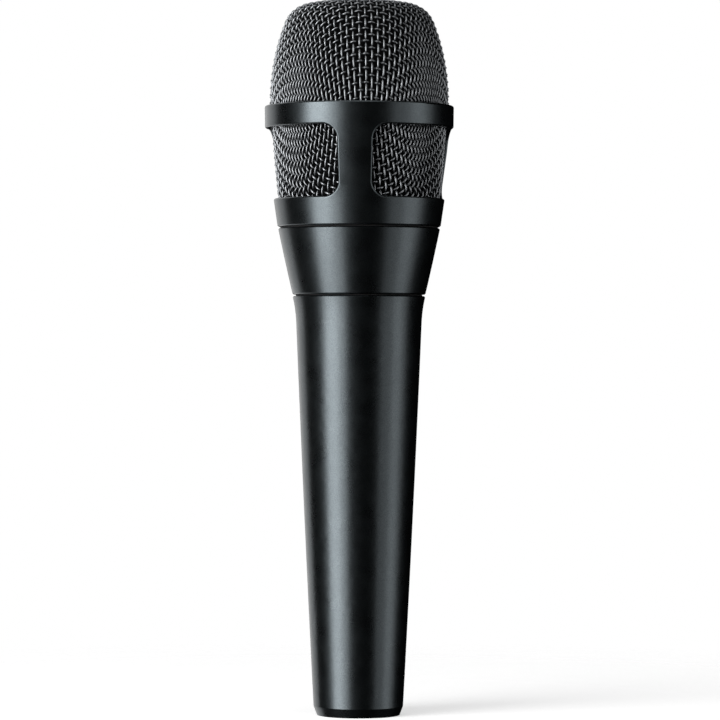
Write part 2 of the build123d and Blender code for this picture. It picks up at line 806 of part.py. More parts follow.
def make_shock_mount():
    """Rubber mount: a flange on the neck's shelf, a thin raised web and a sleeve on the stem."""
    outer = mount_shelf_radius - slip
    web_out = outer - mount_flange_width
    sleeve_in = stem_radius + slip
    sleeve_out = sleeve_in + mount_sleeve_wall
    flange_top = shelf_z + mount_flange_height
    sleeve_z = shelf_z + mount_sleeve_lift
    sleeve_top = sleeve_z + mount_sleeve_height
    return turned(
        (outer, shelf_z),
        (outer, flange_top),
        (web_out, flange_top),
        (sleeve_out, sleeve_z + 2 * mount_web),
        (sleeve_out, sleeve_top),
        (sleeve_in, sleeve_top),
        (sleeve_in, sleeve_z),
        (sleeve_out, sleeve_z),
        (web_out, shelf_z + mount_web),
        (web_out, shelf_z),
    )


def make_clamp_ring():
    """Threaded ring that holds the shock mount's flange down, with two notches for a spanner."""
    low = shelf_z + mount_flange_height
    outer = mount_shelf_radius - slip
    high = low + clamp_height
    ring = disc(outer, low, high) - disc(outer - clamp_width, low - 1, high + 1)
    notch = block(3 * outer, clamp_notch_width, high - clamp_notch_depth, high + 1)
    return ring - notch


# ---------------------------------------------------------------- output transformer


def make_core():
    """Laminated core with three upright legs between two yokes."""
    top = transformer_low_z + core_height
    core = block(core_width, core_depth, transformer_low_z, top)
    window = (core_width - 2 * core_leg - core_centre_leg) / 2
    for side in (-1, 1):
        middle = side * (core_centre_leg + window) / 2
        core -= block(window, core_depth + 2, bobbin_z, bobbin_z + bobbin_height, (middle, 0))
    return core


def bobbin_half(extra):
    """Half width and half depth of a box that stands this far outside the core's centre leg."""
    return core_centre_leg / 2 + extra, core_depth / 2 + extra


def make_bobbin():
    """Bobbin on the centre leg, with a flange at each end."""
    wide, deep = bobbin_half(slip + bobbin_wall)
    flange_wide, flange_deep = bobbin_half(slip + bobbin_wall + winding_build)
    low = bobbin_z + slip
    high = bobbin_z + bobbin_height - slip
    bobbin = block(2 * wide, 2 * deep, low, high)
    for start in (low, high - bobbin_wall):
        bobbin += block(2 * flange_wide, 2 * flange_deep, start, start + bobbin_wall)
    bore_wide, bore_deep = bobbin_half(slip)
    return bobbin - block(2 * bore_wide, 2 * bore_deep, low - 1, high + 1)


def make_windings():
    """Wound copper between the bobbin's flanges."""
    low = bobbin_z + slip + bobbin_wall + slip
    high = bobbin_z + bobbin_height - slip - bobbin_wall - slip
    wide, deep = bobbin_half(2 * slip + bobbin_wall)
    outer_wide, outer_deep = bobbin_half(bobbin_wall + winding_build)
    coil = block(2 * outer_wide, 2 * outer_deep, low, high)
    coil = fillet(coil.edges().filter_by(Axis.Z), winding_corner)
    return coil - block(2 * wide, 2 * deep, low - 1, high + 1)


def make_transformer_pad():
    """Foam sleeve that wedges the transformer in the handle."""
    low = transformer_height - pad_height / 2
    high = transformer_height + pad_height / 2
    inner = math.hypot(core_width / 2, core_depth / 2) + slip
    outer_low = (handle_bore_at(low) - ease, low)
    outer_high = (handle_bore_at(high) - ease, high)
    return turned((inner, low), outer_low, outer_high, (inner, high))


# ---------------------------------------------------------------- connector


def lock_screw_hole(inner, outer):
    """Radial hole for the lock screw, on the +Y side."""
    hole = Cylinder(screw_radius + slip, outer - inner, align=upright)
    return Pos(0, inner, screw_height) * Rot(-90, 0, 0) * hole


def make_lock_screw():
    """Slotted grub screw through the handle's wall into the connector's shell."""
    screw = Cylinder(screw_radius, screw_length, align=upright)
    slot = block(3 * screw_radius, screw_slot_width, screw_length - screw_slot_depth, screw_length + 1)
    return Pos(0, insert_radius - screw_reach, screw_height) * Rot(-90, 0, 0) * (screw - slot)


def make_connector_shell():
    """Metal tube of the connector insert, with its key rib and the latch groove near the mouth."""
    tube = disc(insert_radius, insert_inset, insert_top_z) - disc(socket_radius, 0, insert_top_z + 1)
    groove_z = insert_inset + latch_groove_inset
    groove = disc(socket_radius + latch_groove_depth, groove_z, groove_z + latch_groove_height)
    tube -= groove
    key_top = insulator_z - key_inset
    key_low = key_top - key_length
    rooted = key_height + latch_groove_depth
    tube += block(key_width, rooted, key_low, key_top, (0, socket_radius - key_height + rooted / 2))
    return tube - lock_screw_hole(insert_radius - screw_reach - slip, insert_radius + 1)


def make_insulator():
    """Moulded disc that holds the three pins."""
    body = disc(socket_radius - slip, insulator_z, insert_top_z)
    for number in (1, 2, 3):
        body -= disc(pin_shank_radius + slip, insulator_z - 1, insert_top_z + 1, pin_place(number))
    return body


def make_pin(number):
    """Contact pin: rounded free end below, solder cup above."""
    x, y = pin_place(number)
    tail_z = insert_top_z + pin_tail
    pin = disc(pin_radius, insulator_z - pin_reach, insulator_z + 1, (x, y))
    pin = fillet(pin.edges().group_by(Axis.Z)[0], pin_tip_round)
    pin += disc(pin_shank_radius, insulator_z, tail_z, (x, y))
    return pin - disc(pin_shank_radius - pin_cup_wall, tail_z - pin_cup_depth, tail_z + 1, (x, y))


def make_ground_tag():
    """Flat tag that joins pin 1 to the connector's shell."""
    x, y = pin_place(1)
    low = insert_top_z
    high = low + tag_thickness
    reach = socket_radius + tag_overlap
    away = math.degrees(math.atan2(y, x))
    middle = (reach + pin_circle_radius) / 2
    arm = Rot(0, 0, away) * block(reach - pin_circle_radius, tag_width, low, high, (middle, 0))
    eye = disc(pin_shank_radius + tag_rim, low, high, (x, y))
    return arm + eye - disc(pin_shank_radius + slip, low - 1, low + 1, (x, y))


# ---------------------------------------------------------------- leads


def make_output_lead(number):
    """Lead from a pin's solder cup up to the transformer."""
    x, y = pin_place(number)
    side = {1: 1, 2: -1, 3: 1}[number]
    start = (x, y, insert_top_z + pin_tail + lead_gap)
    face = bobbin_half(bobbin_wall + winding_build)[1] - lead_radius
    end_x = side * lead_half_spread
    end_y = face if number == 2 else -face
    points = [
        start,
        (x, y, start[2] + lead_rise),
        (end_x, end_y, transformer_low_z - lead_rise),
        (end_x, end_y, bobbin_z - lead_gap),
    ]
    return tube_along(points, lead_radius)


def make_cartridge_lead(side):
    """Slack lead from the transformer up to one of the cartridge's solder lugs."""
    face = bobbin_half(bobbin_wall + winding_build)[1] - lead_radius
    start_z = bobbin_z + bobbin_height + lead_gap
    start = (side * lead_half_spread, side * face, start_z)
    end = (side * lug_offset, 0, stem_z - lug_length - lead_gap)
    clear_z = start_z + core_yoke + lead_rise / 2
    points = [
        start,
        (start[0], start[1], clear_z),
        (side * (lug_offset + lead_bow), side * lead_bow, (clear_z + end[2]) / 2),
        (end[0], 0, end[2] - lead_rise),
        end,
    ]
    return tube_along(points, lead_radius)


# ---------------------------------------------------------------- one STEP for each piece

pieces = {
    "handle": make_handle,
    "neck_ring": make_neck,
    "clamp_ring": make_clamp_ring,
    "connector_shell": make_connector_shell,
    "connector_insulator": make_insulator,
    "pin_1": lambda: make_pin(1),
    "pin_2": lambda: make_pin(2),
    "pin_3": lambda: make_pin(3),
    "ground_tag": make_ground_tag,
    "lock_screw": make_lock_screw,
    "transformer_core": make_core,
    "transformer_bobbin": make_bobbin,
    "transformer_windings": make_windings,
    "transformer_pad": make_transformer_pad,
    "output_lead_2": lambda: make_output_lead(2),
    "output_lead_3": lambda: make_output_lead(3),
    "cartridge_lead_1": lambda: make_cartridge_lead(1),
    "cartridge_lead_2": lambda: make_cartridge_lead(-1),
    "seal_ring": make_seal_ring,
    "grille_cage": make_cage,
    "upper_mesh": make_upper_mesh,
    "lower_mesh": make_lower_mesh,
    "foam_cap": make_foam_cap,
    "foam_sleeve": make_foam_sleeve,
    "shock_mount": make_shock_mount,
    "cartridge_shell": make_cartridge_shell,
    "port_cloth": make_port_cloth,
    "motor_yoke": make_yoke,
    "motor_front_plate": make_front_plate,
    "motor_magnet": make_magnet,
    "motor_pole_piece": make_pole_piece,
    "resonator_cap": make_cap,
    "cap_screen": make_cap_screen,
    "rear_cap": make_rear_cap,
    "solder_lug_1": lambda: make_lug(1),
    "solder_lug_2": lambda: make_lug(-1),
    "voice_coil": make_voice_coil,
    "diaphragm": make_diaphragm,
}

os.makedirs("parts", exist_ok=True)
for name, make in pieces.items():
    export_step(make(), f"parts/{name}.step")
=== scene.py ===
# Handheld dynamic vocal microphone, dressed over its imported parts. Metres, +Z up the long axis.
# The rib that faces -Y is the front. Lengths in the dictionaries are millimetres, except in the
# camera, the lamps and the studio round them, which are in metres.

import math

import bpy
import numpy as np
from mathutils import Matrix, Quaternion, Vector


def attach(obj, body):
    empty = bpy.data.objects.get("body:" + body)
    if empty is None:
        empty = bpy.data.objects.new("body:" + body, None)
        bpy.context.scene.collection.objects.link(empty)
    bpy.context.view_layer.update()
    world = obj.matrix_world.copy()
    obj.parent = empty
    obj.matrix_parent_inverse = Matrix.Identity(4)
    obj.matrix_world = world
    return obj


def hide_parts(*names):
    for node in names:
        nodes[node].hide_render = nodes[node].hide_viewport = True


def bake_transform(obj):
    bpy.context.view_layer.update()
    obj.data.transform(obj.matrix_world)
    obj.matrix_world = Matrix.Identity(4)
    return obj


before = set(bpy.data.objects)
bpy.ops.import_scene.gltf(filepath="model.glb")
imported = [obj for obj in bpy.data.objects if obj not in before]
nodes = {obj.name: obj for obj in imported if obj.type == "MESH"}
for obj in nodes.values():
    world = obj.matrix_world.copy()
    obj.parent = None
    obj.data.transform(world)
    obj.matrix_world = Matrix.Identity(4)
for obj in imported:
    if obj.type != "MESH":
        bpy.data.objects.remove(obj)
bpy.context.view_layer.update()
mm = 0.001

camera = {
    "distance": 0.992,  # from the axis
    "azimuth": 2.7,  # degrees round to the object's left side
    "height": 0.0969,
    "aimHeight": 0.0938,
    "aimSide": 0.00029,
    "lens": 187.5,  # lens and sensor in millimetres
    "sensor": 36,
    "roll": 0.1,  # degrees that the object leans to the right
    "nearest": 0.05,
    "farthest": 20,
}


def towards(azimuth):
    # level unit vector from the axis to a place seen at this azimuth: 0 is the front, 90 is +X
    turn = math.radians(azimuth)
    return Vector((math.sin(turn), -math.cos(turn), 0))


def makeCamera(values):
    data = bpy.data.cameras.new("mainCamera")
    data.lens = values["lens"]
    data.sensor_width = values["sensor"]
    data.clip_start, data.clip_end = values["nearest"], values["farthest"]
    eye = bpy.data.objects.new("mainCamera", data)
    bpy.context.scene.collection.objects.link(eye)
    side = towards(values["azimuth"] + 90)
    eye.location = towards(values["azimuth"]) * values["distance"]
    eye.location.z = values["height"]
    aim = side * values["aimSide"] + Vector((0, 0, values["aimHeight"]))
    eye.rotation_mode = "QUATERNION"
    level = (aim - eye.location).to_track_quat("-Z", "Y")
    eye.rotation_quaternion = level @ Quaternion((0, 0, 1), math.radians(values["roll"]))
    bpy.context.scene.camera = eye


makeCamera(camera)
print("camera: lens", camera["lens"], "mm at", camera["distance"], "m")


def meshFromFaces(name, points, faceSets, body, material, sharp=40, uv=None):
    # a new piece from points (n, 3) and face arrays, each (count, corners) with one corner count
    corners = np.concatenate([faces.ravel() for faces in faceSets]).astype(np.int32)
    totals = np.concatenate([np.full(len(faces), faces.shape[1]) for faces in faceSets])
    totals = totals.astype(np.int32)
    used, corners = np.unique(corners, return_inverse=True)
    mesh = bpy.data.meshes.new(name)
    mesh.vertices.add(len(used))
    mesh.vertices.foreach_set("co", points[used].astype(np.float32).ravel())
    mesh.loops.add(len(corners))
    mesh.loops.foreach_set("vertex_index", corners.ravel().astype(np.int32))
    mesh.polygons.add(len(totals))
    starts = np.concatenate([[0], np.cumsum(totals)[:-1]]).astype(np.int32)
    mesh.polygons.foreach_set("loop_start", starts)
    mesh.polygons.foreach_set("loop_total", totals)
    mesh.polygons.foreach_set("use_smooth", np.ones(len(totals), bool))
    if uv is not None:
        layer = mesh.uv_layers.new(name="UVMap")
        layer.data.foreach_set("uv", uv[used][corners.ravel()].astype(np.float32).ravel())
    mesh.update(calc_edges=True)
    mesh.validate()
    mesh.set_sharp_from_angle(angle=math.radians(sharp))
    piece = bpy.data.objects.new(name, mesh)
    bpy.context.scene.collection.objects.link(piece)
    if material is not None:
        mesh.materials.append(material)
    if body:
        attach(piece, body)
    return piece


def gridFaces(rows, columns, closeRows=False, closeColumns=False):
    # quads between the points of a grid stored row by row
    i = np.arange(rows if closeRows else rows - 1)[:, None]
    j = np.arange(columns if closeColumns else columns - 1)[None, :]
    down, right = (i + 1) % rows, (j + 1) % columns
    quads = [i * columns + j, i * columns + right, down * columns + right, down * columns + j]
    return np.stack([q + 0 * (i + j) for q in quads], -1).reshape(-1, 4)


def closedFaces(rows, columns):
    # faces of a skin that starts and ends in a small ring round the axis, each closed by one face
    pole = np.arange(columns)
    return [
        gridFaces(rows, columns, closeColumns=True),
        np.stack([pole[::-1], pole + (rows - 1) * columns]),
    ]


def anglesOf(columns):
    # even angles round the axis, as one row
    return np.linspace(0, 2 * math.pi, columns, endpoint=False)[None, :]


def roundAxis(radius, height, angle):
    # a section carried round the axis: (radius cos(angle), radius sin(angle), height)
    return np.stack(
        [radius * np.cos(angle), radius * np.sin(angle), height + 0 * radius * angle], -1
    )


def fromHex(code):
    # sRGB hex to the linear colour that shaders take
    value = np.array([int(code[k : k + 2], 16) for k in (1, 3, 5)]) / 255
    linear = np.where(value <= 0.04045, value / 12.92, ((value + 0.055) / 1.055) ** 2.4)
    return (*[float(v) for v in linear], 1.0)


def addNode(tree, kind, settings=None, links=None):
    # one node with its settings and the sockets that feed it
    node = tree.nodes.new(kind)
    for key, value in (settings or {}).items():
        if isinstance(key, str) and hasattr(node, key):
            setattr(node, key, value)
        else:
            node.inputs[key].default_value = value
    for key, source in (links or {}).items():
        tree.links.new(source, node.inputs[key])
    return node


def newMaterial(name, settings):
    # a material with one Principled shader: returns it, its tree, the shader and Object coordinates
    material = bpy.data.materials.new(name)
    material.use_nodes = True
    tree = material.node_tree
    tree.nodes.clear()
    shader = addNode(tree, "ShaderNodeBsdfPrincipled", settings)
    addNode(tree, "ShaderNodeOutputMaterial", links={"Surface": shader.outputs["BSDF"]})
    place = addNode(tree, "ShaderNodeTexCoord").outputs["Object"]
    return material, tree, shader, place


def perMetre(size):
    # texture scale for features this many millimetres apart
    return 1000 / size


waveRepeat = 314.16  # millimetres from band to band of a Wave texture at scale 1


def waveScale(size):
    # Wave texture scale for bands this many millimetres apart
    return waveRepeat / size


def rangeFrom(tree, source, low, high, fromLow=0.3, fromHigh=0.7):
    # a texture's value brought to the span low to high
    settings = {"From Min": fromLow, "From Max": fromHigh, "To Min": low, "To Max": high}
    return addNode(tree, "ShaderNodeMapRange", settings, {"Value": source}).outputs["Result"]


def blendColours(tree, shader, share, first, second):
    # the base colour goes from the first hex colour to the second as the share goes from 0 to 1
    settings = {"data_type": "RGBA", 6: fromHex(first), 7: fromHex(second)}
    mixed = addNode(tree, "ShaderNodeMix", settings, {0: share})
    tree.links.new(mixed.outputs[2], shader.inputs["Base Color"])


def raiseSurface(tree, shader, height, strength, depth):
    # bump of this depth in millimetres
    settings = {"Strength": strength, "Distance": depth * mm}
    relief = addNode(tree, "ShaderNodeBump", settings, {"Height": height})
    tree.links.new(relief.outputs["Normal"], shader.inputs["Normal"])


def noiseOf(tree, place, size, detail=3.0, roughness=0.5):
    settings = {"Scale": perMetre(size), "Detail": detail, "Roughness": roughness}
    return addNode(tree, "ShaderNodeTexNoise", settings, {"Vector": place}).outputs["Fac"]


def satinPaint(name, look):
    # die-cast zinc, sprayed with a satin black metallic lacquer:
    # soft-edged streaks of light on deep black, with the fine tooth of dried spray
    material, tree, shader, place = newMaterial(
        name,
        {
            "Metallic": look["metallic"],
            "Coat Weight": look["coat"],
            "Coat Roughness": look["coatRoughness"],
        },
    )
    # metal flake is about 0.05 mm across, drawn at 0.25 mm so that it shows
    scale = {"Scale": perMetre(look["flake"])}
    flake = addNode(tree, "ShaderNodeTexVoronoi", scale, {"Vector": place}).outputs["Distance"]
    glitter = rangeFrom(tree, flake, 0, 1, fromLow=0.1, fromHigh=0.7)
    blendColours(tree, shader, glitter, look["bright"], look["dark"])
    # slow waves of the lacquer, 5 mm long
    flow = noiseOf(tree, place, look["flow"], detail=2.0)
    sheen = rangeFrom(tree, flow, look["roughness"] - 0.02, look["roughness"] + 0.02)
    tree.links.new(sheen, shader.inputs["Roughness"])
    # dried spray is about 0.1 mm from grain to grain, drawn at 0.35 mm so that it shows
    spray = noiseOf(tree, place, look["grain"], roughness=0.6)
    raiseSurface(tree, shader, spray, look["relief"], depth=0.02)
    return material


def blackenedWire(name, look):
    # steel wire, drawn, woven and blackened. The outer crown of each bend is painted lighter as a
    # painted highlight, and the dips are painted dark as painted shade where the crossing wires
    # shade them. V of the UV map is 0 in a dip and 1 on a crown
    material, tree, shader, place = newMaterial(name, {"Metallic": look["metallic"]})
    uv = addNode(tree, "ShaderNodeTexCoord").outputs["UV"]
    crown = addNode(tree, "ShaderNodeSeparateXYZ", {}, {0: uv}).outputs["Y"]
    patches = noiseOf(tree, place, look["patch"])
    settings = {"operation": "MULTIPLY_ADD", 1: look["drift"], 2: -look["drift"] / 2}
    drift = addNode(tree, "ShaderNodeMath", settings, {0: patches}).outputs[0]
    highlightMask = addNode(tree, "ShaderNodeMath", {"operation": "ADD"}, {0: crown, 1: drift}).outputs[0]
    # share of painted highlight from 0 to 1: painted shade in the dips, painted highlight on the
    # crowns
    share = rangeFrom(tree, highlightMask, 0, 1, look["paintedHighlightFrom"], look["paintedHighlightTo"])
    blendColours(tree, shader, share, look["paintedShadeDip"], look["crown"])
    gloss = rangeFrom(tree, share, look["dipRoughness"], look["crownRoughness"], 0, 1)
    tree.links.new(gloss, shader.inputs["Roughness"])
    # the die leaves a faint tooth, about 0.05 mm, drawn at 0.2 mm
    tooth = noiseOf(tree, place, look["tooth"], detail=2.0)
    raiseSurface(tree, shader, tooth, look["relief"], depth=0.01)
    return material


def openFoam(name, look):
    # polyether foam, open cells, sliced to shape: the pits are painted darker than the thin matt
    # struts, as painted shade in the cells
    matt = {"Roughness": 0.95, "Specular IOR Level": 0.1}
    material, tree, shader, place = newMaterial(name, matt)
    scale = {"Scale": perMetre(look["cell"])}
    cells = addNode(tree, "ShaderNodeTexVoronoi", scale, {"Vector": place}).outputs["Distance"]
    blendColours(tree, shader, cells, look["shadedPit"], look["strut"])
    raiseSurface(tree, shader, cells, strength=1.0, depth=0.2)
    return material


def workedMetal(name, look):
    # bare or plated metal whose tool left lines along one axis: each line splits the highlight
    # a little, and slow stains keep the tone from being even
    material, tree, shader, place = newMaterial(name, {"Metallic": 1.0})
    settings = {
        "bands_direction": look["across"],
        "Scale": waveScale(look["lines"]),
        "Distortion": look["uneven"],
    }
    lines = addNode(tree, "ShaderNodeTexWave", settings, {"Vector": place}).outputs["Fac"]
    stains = noiseOf(tree, place, look["stain"], detail=4.0)
    blendColours(tree, shader, stains, look["colour"], look["worn"])
    rubbing = noiseOf(tree, place, look["stain"] / 3)
    polish = rangeFrom(tree, rubbing, look["roughness"] - 0.05, look["roughness"] + 0.07)
    tree.links.new(polish, shader.inputs["Roughness"])
    raiseSurface(tree, shader, lines, look["relief"], depth=0.02)
    return material


def mouldedPlastic(name, look):
    # moulded plastic or rubber: the mould's spark-eroded grain breaks up a broad, weak sheen
    settings = {"IOR": look["ior"]}
    if "sheen" in look:
        settings["Sheen Weight"] = look["sheen"]
    material, tree, shader, place = newMaterial(name, settings)
    grain = noiseOf(tree, place, look["grain"], detail=4.0, roughness=0.6)
    blendColours(tree, shader, grain, look["colour"], look["worn"])
    handling = noiseOf(tree, place, 3.0)
    gloss = rangeFrom(tree, handling, look["roughness"] - 0.06, look["roughness"] + 0.06)
    tree.links.new(gloss, shader.inputs["Roughness"])
    raiseSurface(tree, shader, grain, look["relief"], depth=0.03)
    return material


def wovenCloth(name, look):
    # plain-woven polyester, heat-set: crossing threads painted lighter on their crowns as a painted
    # highlight, with painted shade between them.
    # The threads are 0.1 mm apart, drawn at 0.35 mm so that they show
    material, tree, shader, place = newMaterial(name, {"Roughness": 0.85, "Sheen Weight": 0.3})
    threads = [
        addNode(
            tree,
            "ShaderNodeTexWave",
            {"bands_direction": axis, "Scale": waveScale(look["thread"])},
            {"Vector": place},
        ).outputs["Fac"]
        for axis in ("X", "Y")
    ]
    both = {0: threads[0], 1: threads[1]}
    crown = addNode(tree, "ShaderNodeMath", {"operation": "MAXIMUM"}, both).outputs[0]
    # painted highlight on the thread crowns, painted shade in the gaps between threads
    blendColours(tree, shader, crown, look["gap"], look["colour"])
    raiseSurface(tree, shader, crown, strength=0.8, depth=0.05)
    return material


def formedFilm(name, look):
    # polyester film, heat-formed: clear, thin and glossy, with a faint drift in its gloss
    material, tree, shader, place = newMaterial(
        name, {"Transmission Weight": 0.7, "IOR": 1.57, "Coat Weight": 0.2, "Coat Roughness": 0.1}
    )
    drift = noiseOf(tree, place, 2.5)
    blendColours(tree, shader, drift, look["colour"], look["worn"])
    tree.links.new(rangeFrom(tree, drift, 0.08, 0.18), shader.inputs["Roughness"])
    return material


def dress(material, *names):
    # gives CAD nodes a material
    for name in names:
        node = nodes[name]
        if not node.material_slots:
            node.data.materials.append(material)
        for slot in node.material_slots:
            slot.material = material


paintLook = {
    "bright": "#545a5c",
    "dark": "#474c4f",
    "metallic": 1.0,
    "roughness": 0.285,
    "coat": 0.06,
    "coatRoughness": 0.2,
    "flake": 0.25,
    "flow": 5,
    "grain": 0.35,
    "relief": 0.2,
}
wireLook = {
    # the first colour is painted shade in each wire's dips and the second a painted highlight on
    # its crowns; the two after them set where that highlight begins and ends
    "paintedShadeDip": "#26282a",
    "crown": "#9da0a3",
    "paintedHighlightFrom": 0.35,
    "paintedHighlightTo": 0.8,
    "metallic": 1.0,
    "crownRoughness": 0.36,
    "dipRoughness": 0.51,
    "patch": 0.9,
    "drift": 0.3,
    "tooth": 0.2,
    "relief": 0.15,
}
# the pit colour is painted shade in the foam's cells
foamLook = {"strut": "#121213", "shadedPit": "#050505", "cell": 0.6}

dress(satinPaint("satinBlackPaintOnZinc", paintLook), "handle", "neck_ring", "grille_cage")
meshWire = blackenedWire("blackenedSteelWireWoven", wireLook)
grilleFoam = openFoam("openCellFoamSliced", foamLook)

# How each metal was worked, its look, and the nodes made of it. "lines" is the distance between
# tool marks: where the real ones are 0.05 to 0.1 mm apart, they are drawn wider so that they show
metalLooks = {
    "satinNickelPlateTurned": (  # soft, pale and slightly warm
        {
            "colour": "#bdb8ad", "worn": "#a39d92", "roughness": 0.28,
            "across": "Z", "lines": 0.3, "relief": 0.25,
        },
        ("connector_shell",),
    ),
    "silverPlateTurned": (  # bright, with a first brown touch of tarnish
        {
            "colour": "#d8d3c6", "worn": "#b3a894", "roughness": 0.2,
            "across": "Z", "lines": 0.25, "relief": 0.15,
        },
        ("pin_1", "pin_2", "pin_3", "ground_tag", "solder_lug_1", "solder_lug_2"),
    ),
    "blackOxideSteelTurned": (  # dark and oily, with pale wear
        {
            "colour": "#3c3c3f", "worn": "#55565a", "roughness": 0.38,
            "across": "Y", "lines": 0.3, "relief": 0.3,
        },
        ("lock_screw",),
    ),
    "aluminiumDrawn": (  # silver grey, with fine rings round the wall
        {
            "colour": "#a9aaac", "worn": "#8f9194", "roughness": 0.34,
            "across": "Z", "lines": 0.35, "relief": 0.2,
        },
        ("cartridge_shell", "clamp_ring"),
    ),
    "zincPlatedIronTurned": (  # cool grey with a faint yellow passivation
        {
            "colour": "#a7a699", "worn": "#8b8c8c", "roughness": 0.36,
            "across": "Z", "lines": 0.4, "relief": 0.3,
        },
        ("motor_yoke", "motor_front_plate", "motor_pole_piece"),
    ),
    "castMagnetGround": (  # dark grey, dull, ground flat on its ends
        {
            "colour": "#5d5c5b", "worn": "#454443", "roughness": 0.55,
            "across": "X", "lines": 0.5, "relief": 0.5,
        },
        ("motor_magnet",),
    ),
    "siliconSteelStamped": (  # laminations 0.35 mm thick, seen on edge
        {
            "colour": "#7d7974", "worn": "#5c5650", "roughness": 0.45,
            "across": "Y", "lines": 0.35, "relief": 0.8,
        },
        ("transformer_core",),
    ),
    "enamelledCopperWound": (  # turns of wire side by side, 0.2 mm apart, drawn as they are
        {
            "colour": "#b5683a", "worn": "#8f4a25", "roughness": 0.3,
            "across": "Z", "lines": 0.2, "relief": 1.0,
        },
        ("transformer_windings", "voice_coil"),
    ),
}
for name, (look, dressed) in metalLooks.items():
    dress(workedMetal(name, {"uneven": 0.3, "stain": 4.0, **look}), *dressed)

# Moulded and extruded pieces, with the grain of their mould or die in millimetres
plasticLooks = {
    "phenolicMoulded": (  # near black, matt, faintly speckled
        {
            "colour": "#1b1b1d", "worn": "#2a2a2c", "ior": 1.55, "roughness": 0.5,
            "grain": 0.25, "relief": 0.4,
        },
        ("connector_insulator",),
    ),
    "nylonMoulded": (  # natural ivory, waxy
        {
            "colour": "#e2dbc4", "worn": "#d2c9ae", "ior": 1.53, "roughness": 0.42,
            "grain": 0.4, "relief": 0.2,
        },
        ("transformer_bobbin",),
    ),
    "absMoulded": (  # black, satin
        {
            "colour": "#161617", "worn": "#202021", "ior": 1.54, "roughness": 0.4,
            "grain": 0.3, "relief": 0.3,
        },
        ("resonator_cap", "rear_cap"),
    ),
    "neopreneMoulded": (  # soft black with a chalky bloom
        {
            "colour": "#151515", "worn": "#262524", "ior": 1.52, "roughness": 0.72,
            "grain": 0.5, "relief": 0.4, "sheen": 0.2,
        },
        ("seal_ring", "shock_mount"),
    ),
    "redVinylExtruded": (  # glossy lead sleeve
        {
            "colour": "#a8231d", "worn": "#8e1b17", "ior": 1.54, "roughness": 0.35,
            "grain": 0.6, "relief": 0.15,
        },
        ("output_lead_2", "cartridge_lead_1"),
    ),
    "whiteVinylExtruded": (  # glossy lead sleeve, slightly yellowed
        {
            "colour": "#dedacb", "worn": "#cec8b6", "ior": 1.54, "roughness": 0.35,
            "grain": 0.6, "relief": 0.15,
        },
        ("output_lead_3", "cartridge_lead_2"),
    ),
}
for name, (look, dressed) in plasticLooks.items():
    dress(mouldedPlastic(name, look), *dressed)

# the gap colour is painted shade between the threads
clothLook = {"colour": "#3a3a3b", "gap": "#0c0c0c", "thread": 0.35}
filmLook = {"colour": "#e9e6da", "worn": "#dcd8c8"}
acousticCloth = wovenCloth("polyesterClothWoven", clothLook)
dress(acousticCloth, "port_cloth")
dress(formedFilm("polyesterFilmFormed", filmLook), "diaphragm")
print("materials:", len(bpy.data.materials), "ready")

weave = {
    "wire": 0.48,  # wire diameter
    "samples": 4,  # along one pitch
    "sides": 6,
    "strays": 0.04,  # how far a crossing lies from its even place
    "tightGlint": 3,  # how much shorter the painted highlights on the crowns are where a wire bends more
    "longGlint": 0.75,  # how much longer they are where it bends less
}
dome = {
    "bandTop": 160.9,
    "radius": 23.8,
    "wallRadius": 55.8,
    "wallTurn": 21.7,
    "shoulderRadius": 8.1,
    "height": 28.3,
    "rimHeight": 1.5,
    "rim": 157.3,
    "pitch": 1.64,
    "turn": 7.0,  # the weave's own turn about the axis, degrees
    "stretch": 1.2,  # of the drawn wall near the band
    "stretchFrom": 184.0,  # height at which the stretch begins
    "drawnFrom": 185.0,  # height at which the die begins to share the wires out
    "ease": 0.2,
    "easeOver": 6.0,
    "seed": 7,
    "crimp": 0.5,  # how much more level wires bend than upright ones in the drawn wall
    "lines": 44,  # wires from the middle to one side
}
bowl = {
    "lowRadius": 21.3,
    "low": 134.7,
    "highRadius": 23.3,
    "high": 156.8,
    "bulge": 0.2,
    "pitch": 1.55,
    "turn": 1.0,
    "stretch": 1.2,
    "stretchOver": 3.0,  # the height that the stretch comes in over
    "drawnFrom": 134.7,
    "ease": 0.1,
    "easeOver": 5.0,
    "seed": 8,
    "crimp": 0.4,
    "floorCorner": 2.0,
    "lines": 33,
}
curveSteps = 400
cornerSteps = 200


def domeLine(inward):
    # the dome's outline from the apex to the rim: crown arc, shoulder arc, wall arc and straight
    # rim. Each arc is centre + (radius - inward) * (cos, sin), and they meet with one tangent
    lean = math.radians(dome["wallTurn"])
    wallZ = dome["bandTop"] + dome["rimHeight"]
    topZ = dome["bandTop"] + dome["height"]
    wallCentre = (dome["radius"] - dome["wallRadius"], wallZ)
    reach = dome["wallRadius"] - dome["shoulderRadius"]
    shoulder = (wallCentre[0] + reach * math.cos(lean), wallZ + reach * math.sin(lean))
    drop = topZ - shoulder[1]
    small = dome["shoulderRadius"]
    crown = (shoulder[0] ** 2 + drop**2 - small**2) / (2 * (drop - small))
    rise = math.atan2(crown - drop, shoulder[0])

    def arc(centre, radius, first, last):
        angle = np.linspace(first, last, curveSteps)
        reach = radius - inward
        return np.c_[centre[0] + reach * np.cos(angle), centre[1] + reach * np.sin(angle)]

    parts = [
        arc((0, topZ - crown), crown, math.pi / 2, rise),
        arc(shoulder, dome["shoulderRadius"], rise, lean)[1:],
        arc(wallCentre, dome["wallRadius"], lean, 0)[1:],
        np.array([[dome["radius"] - inward, dome["rim"]]]),
    ]
    return np.vstack(parts)


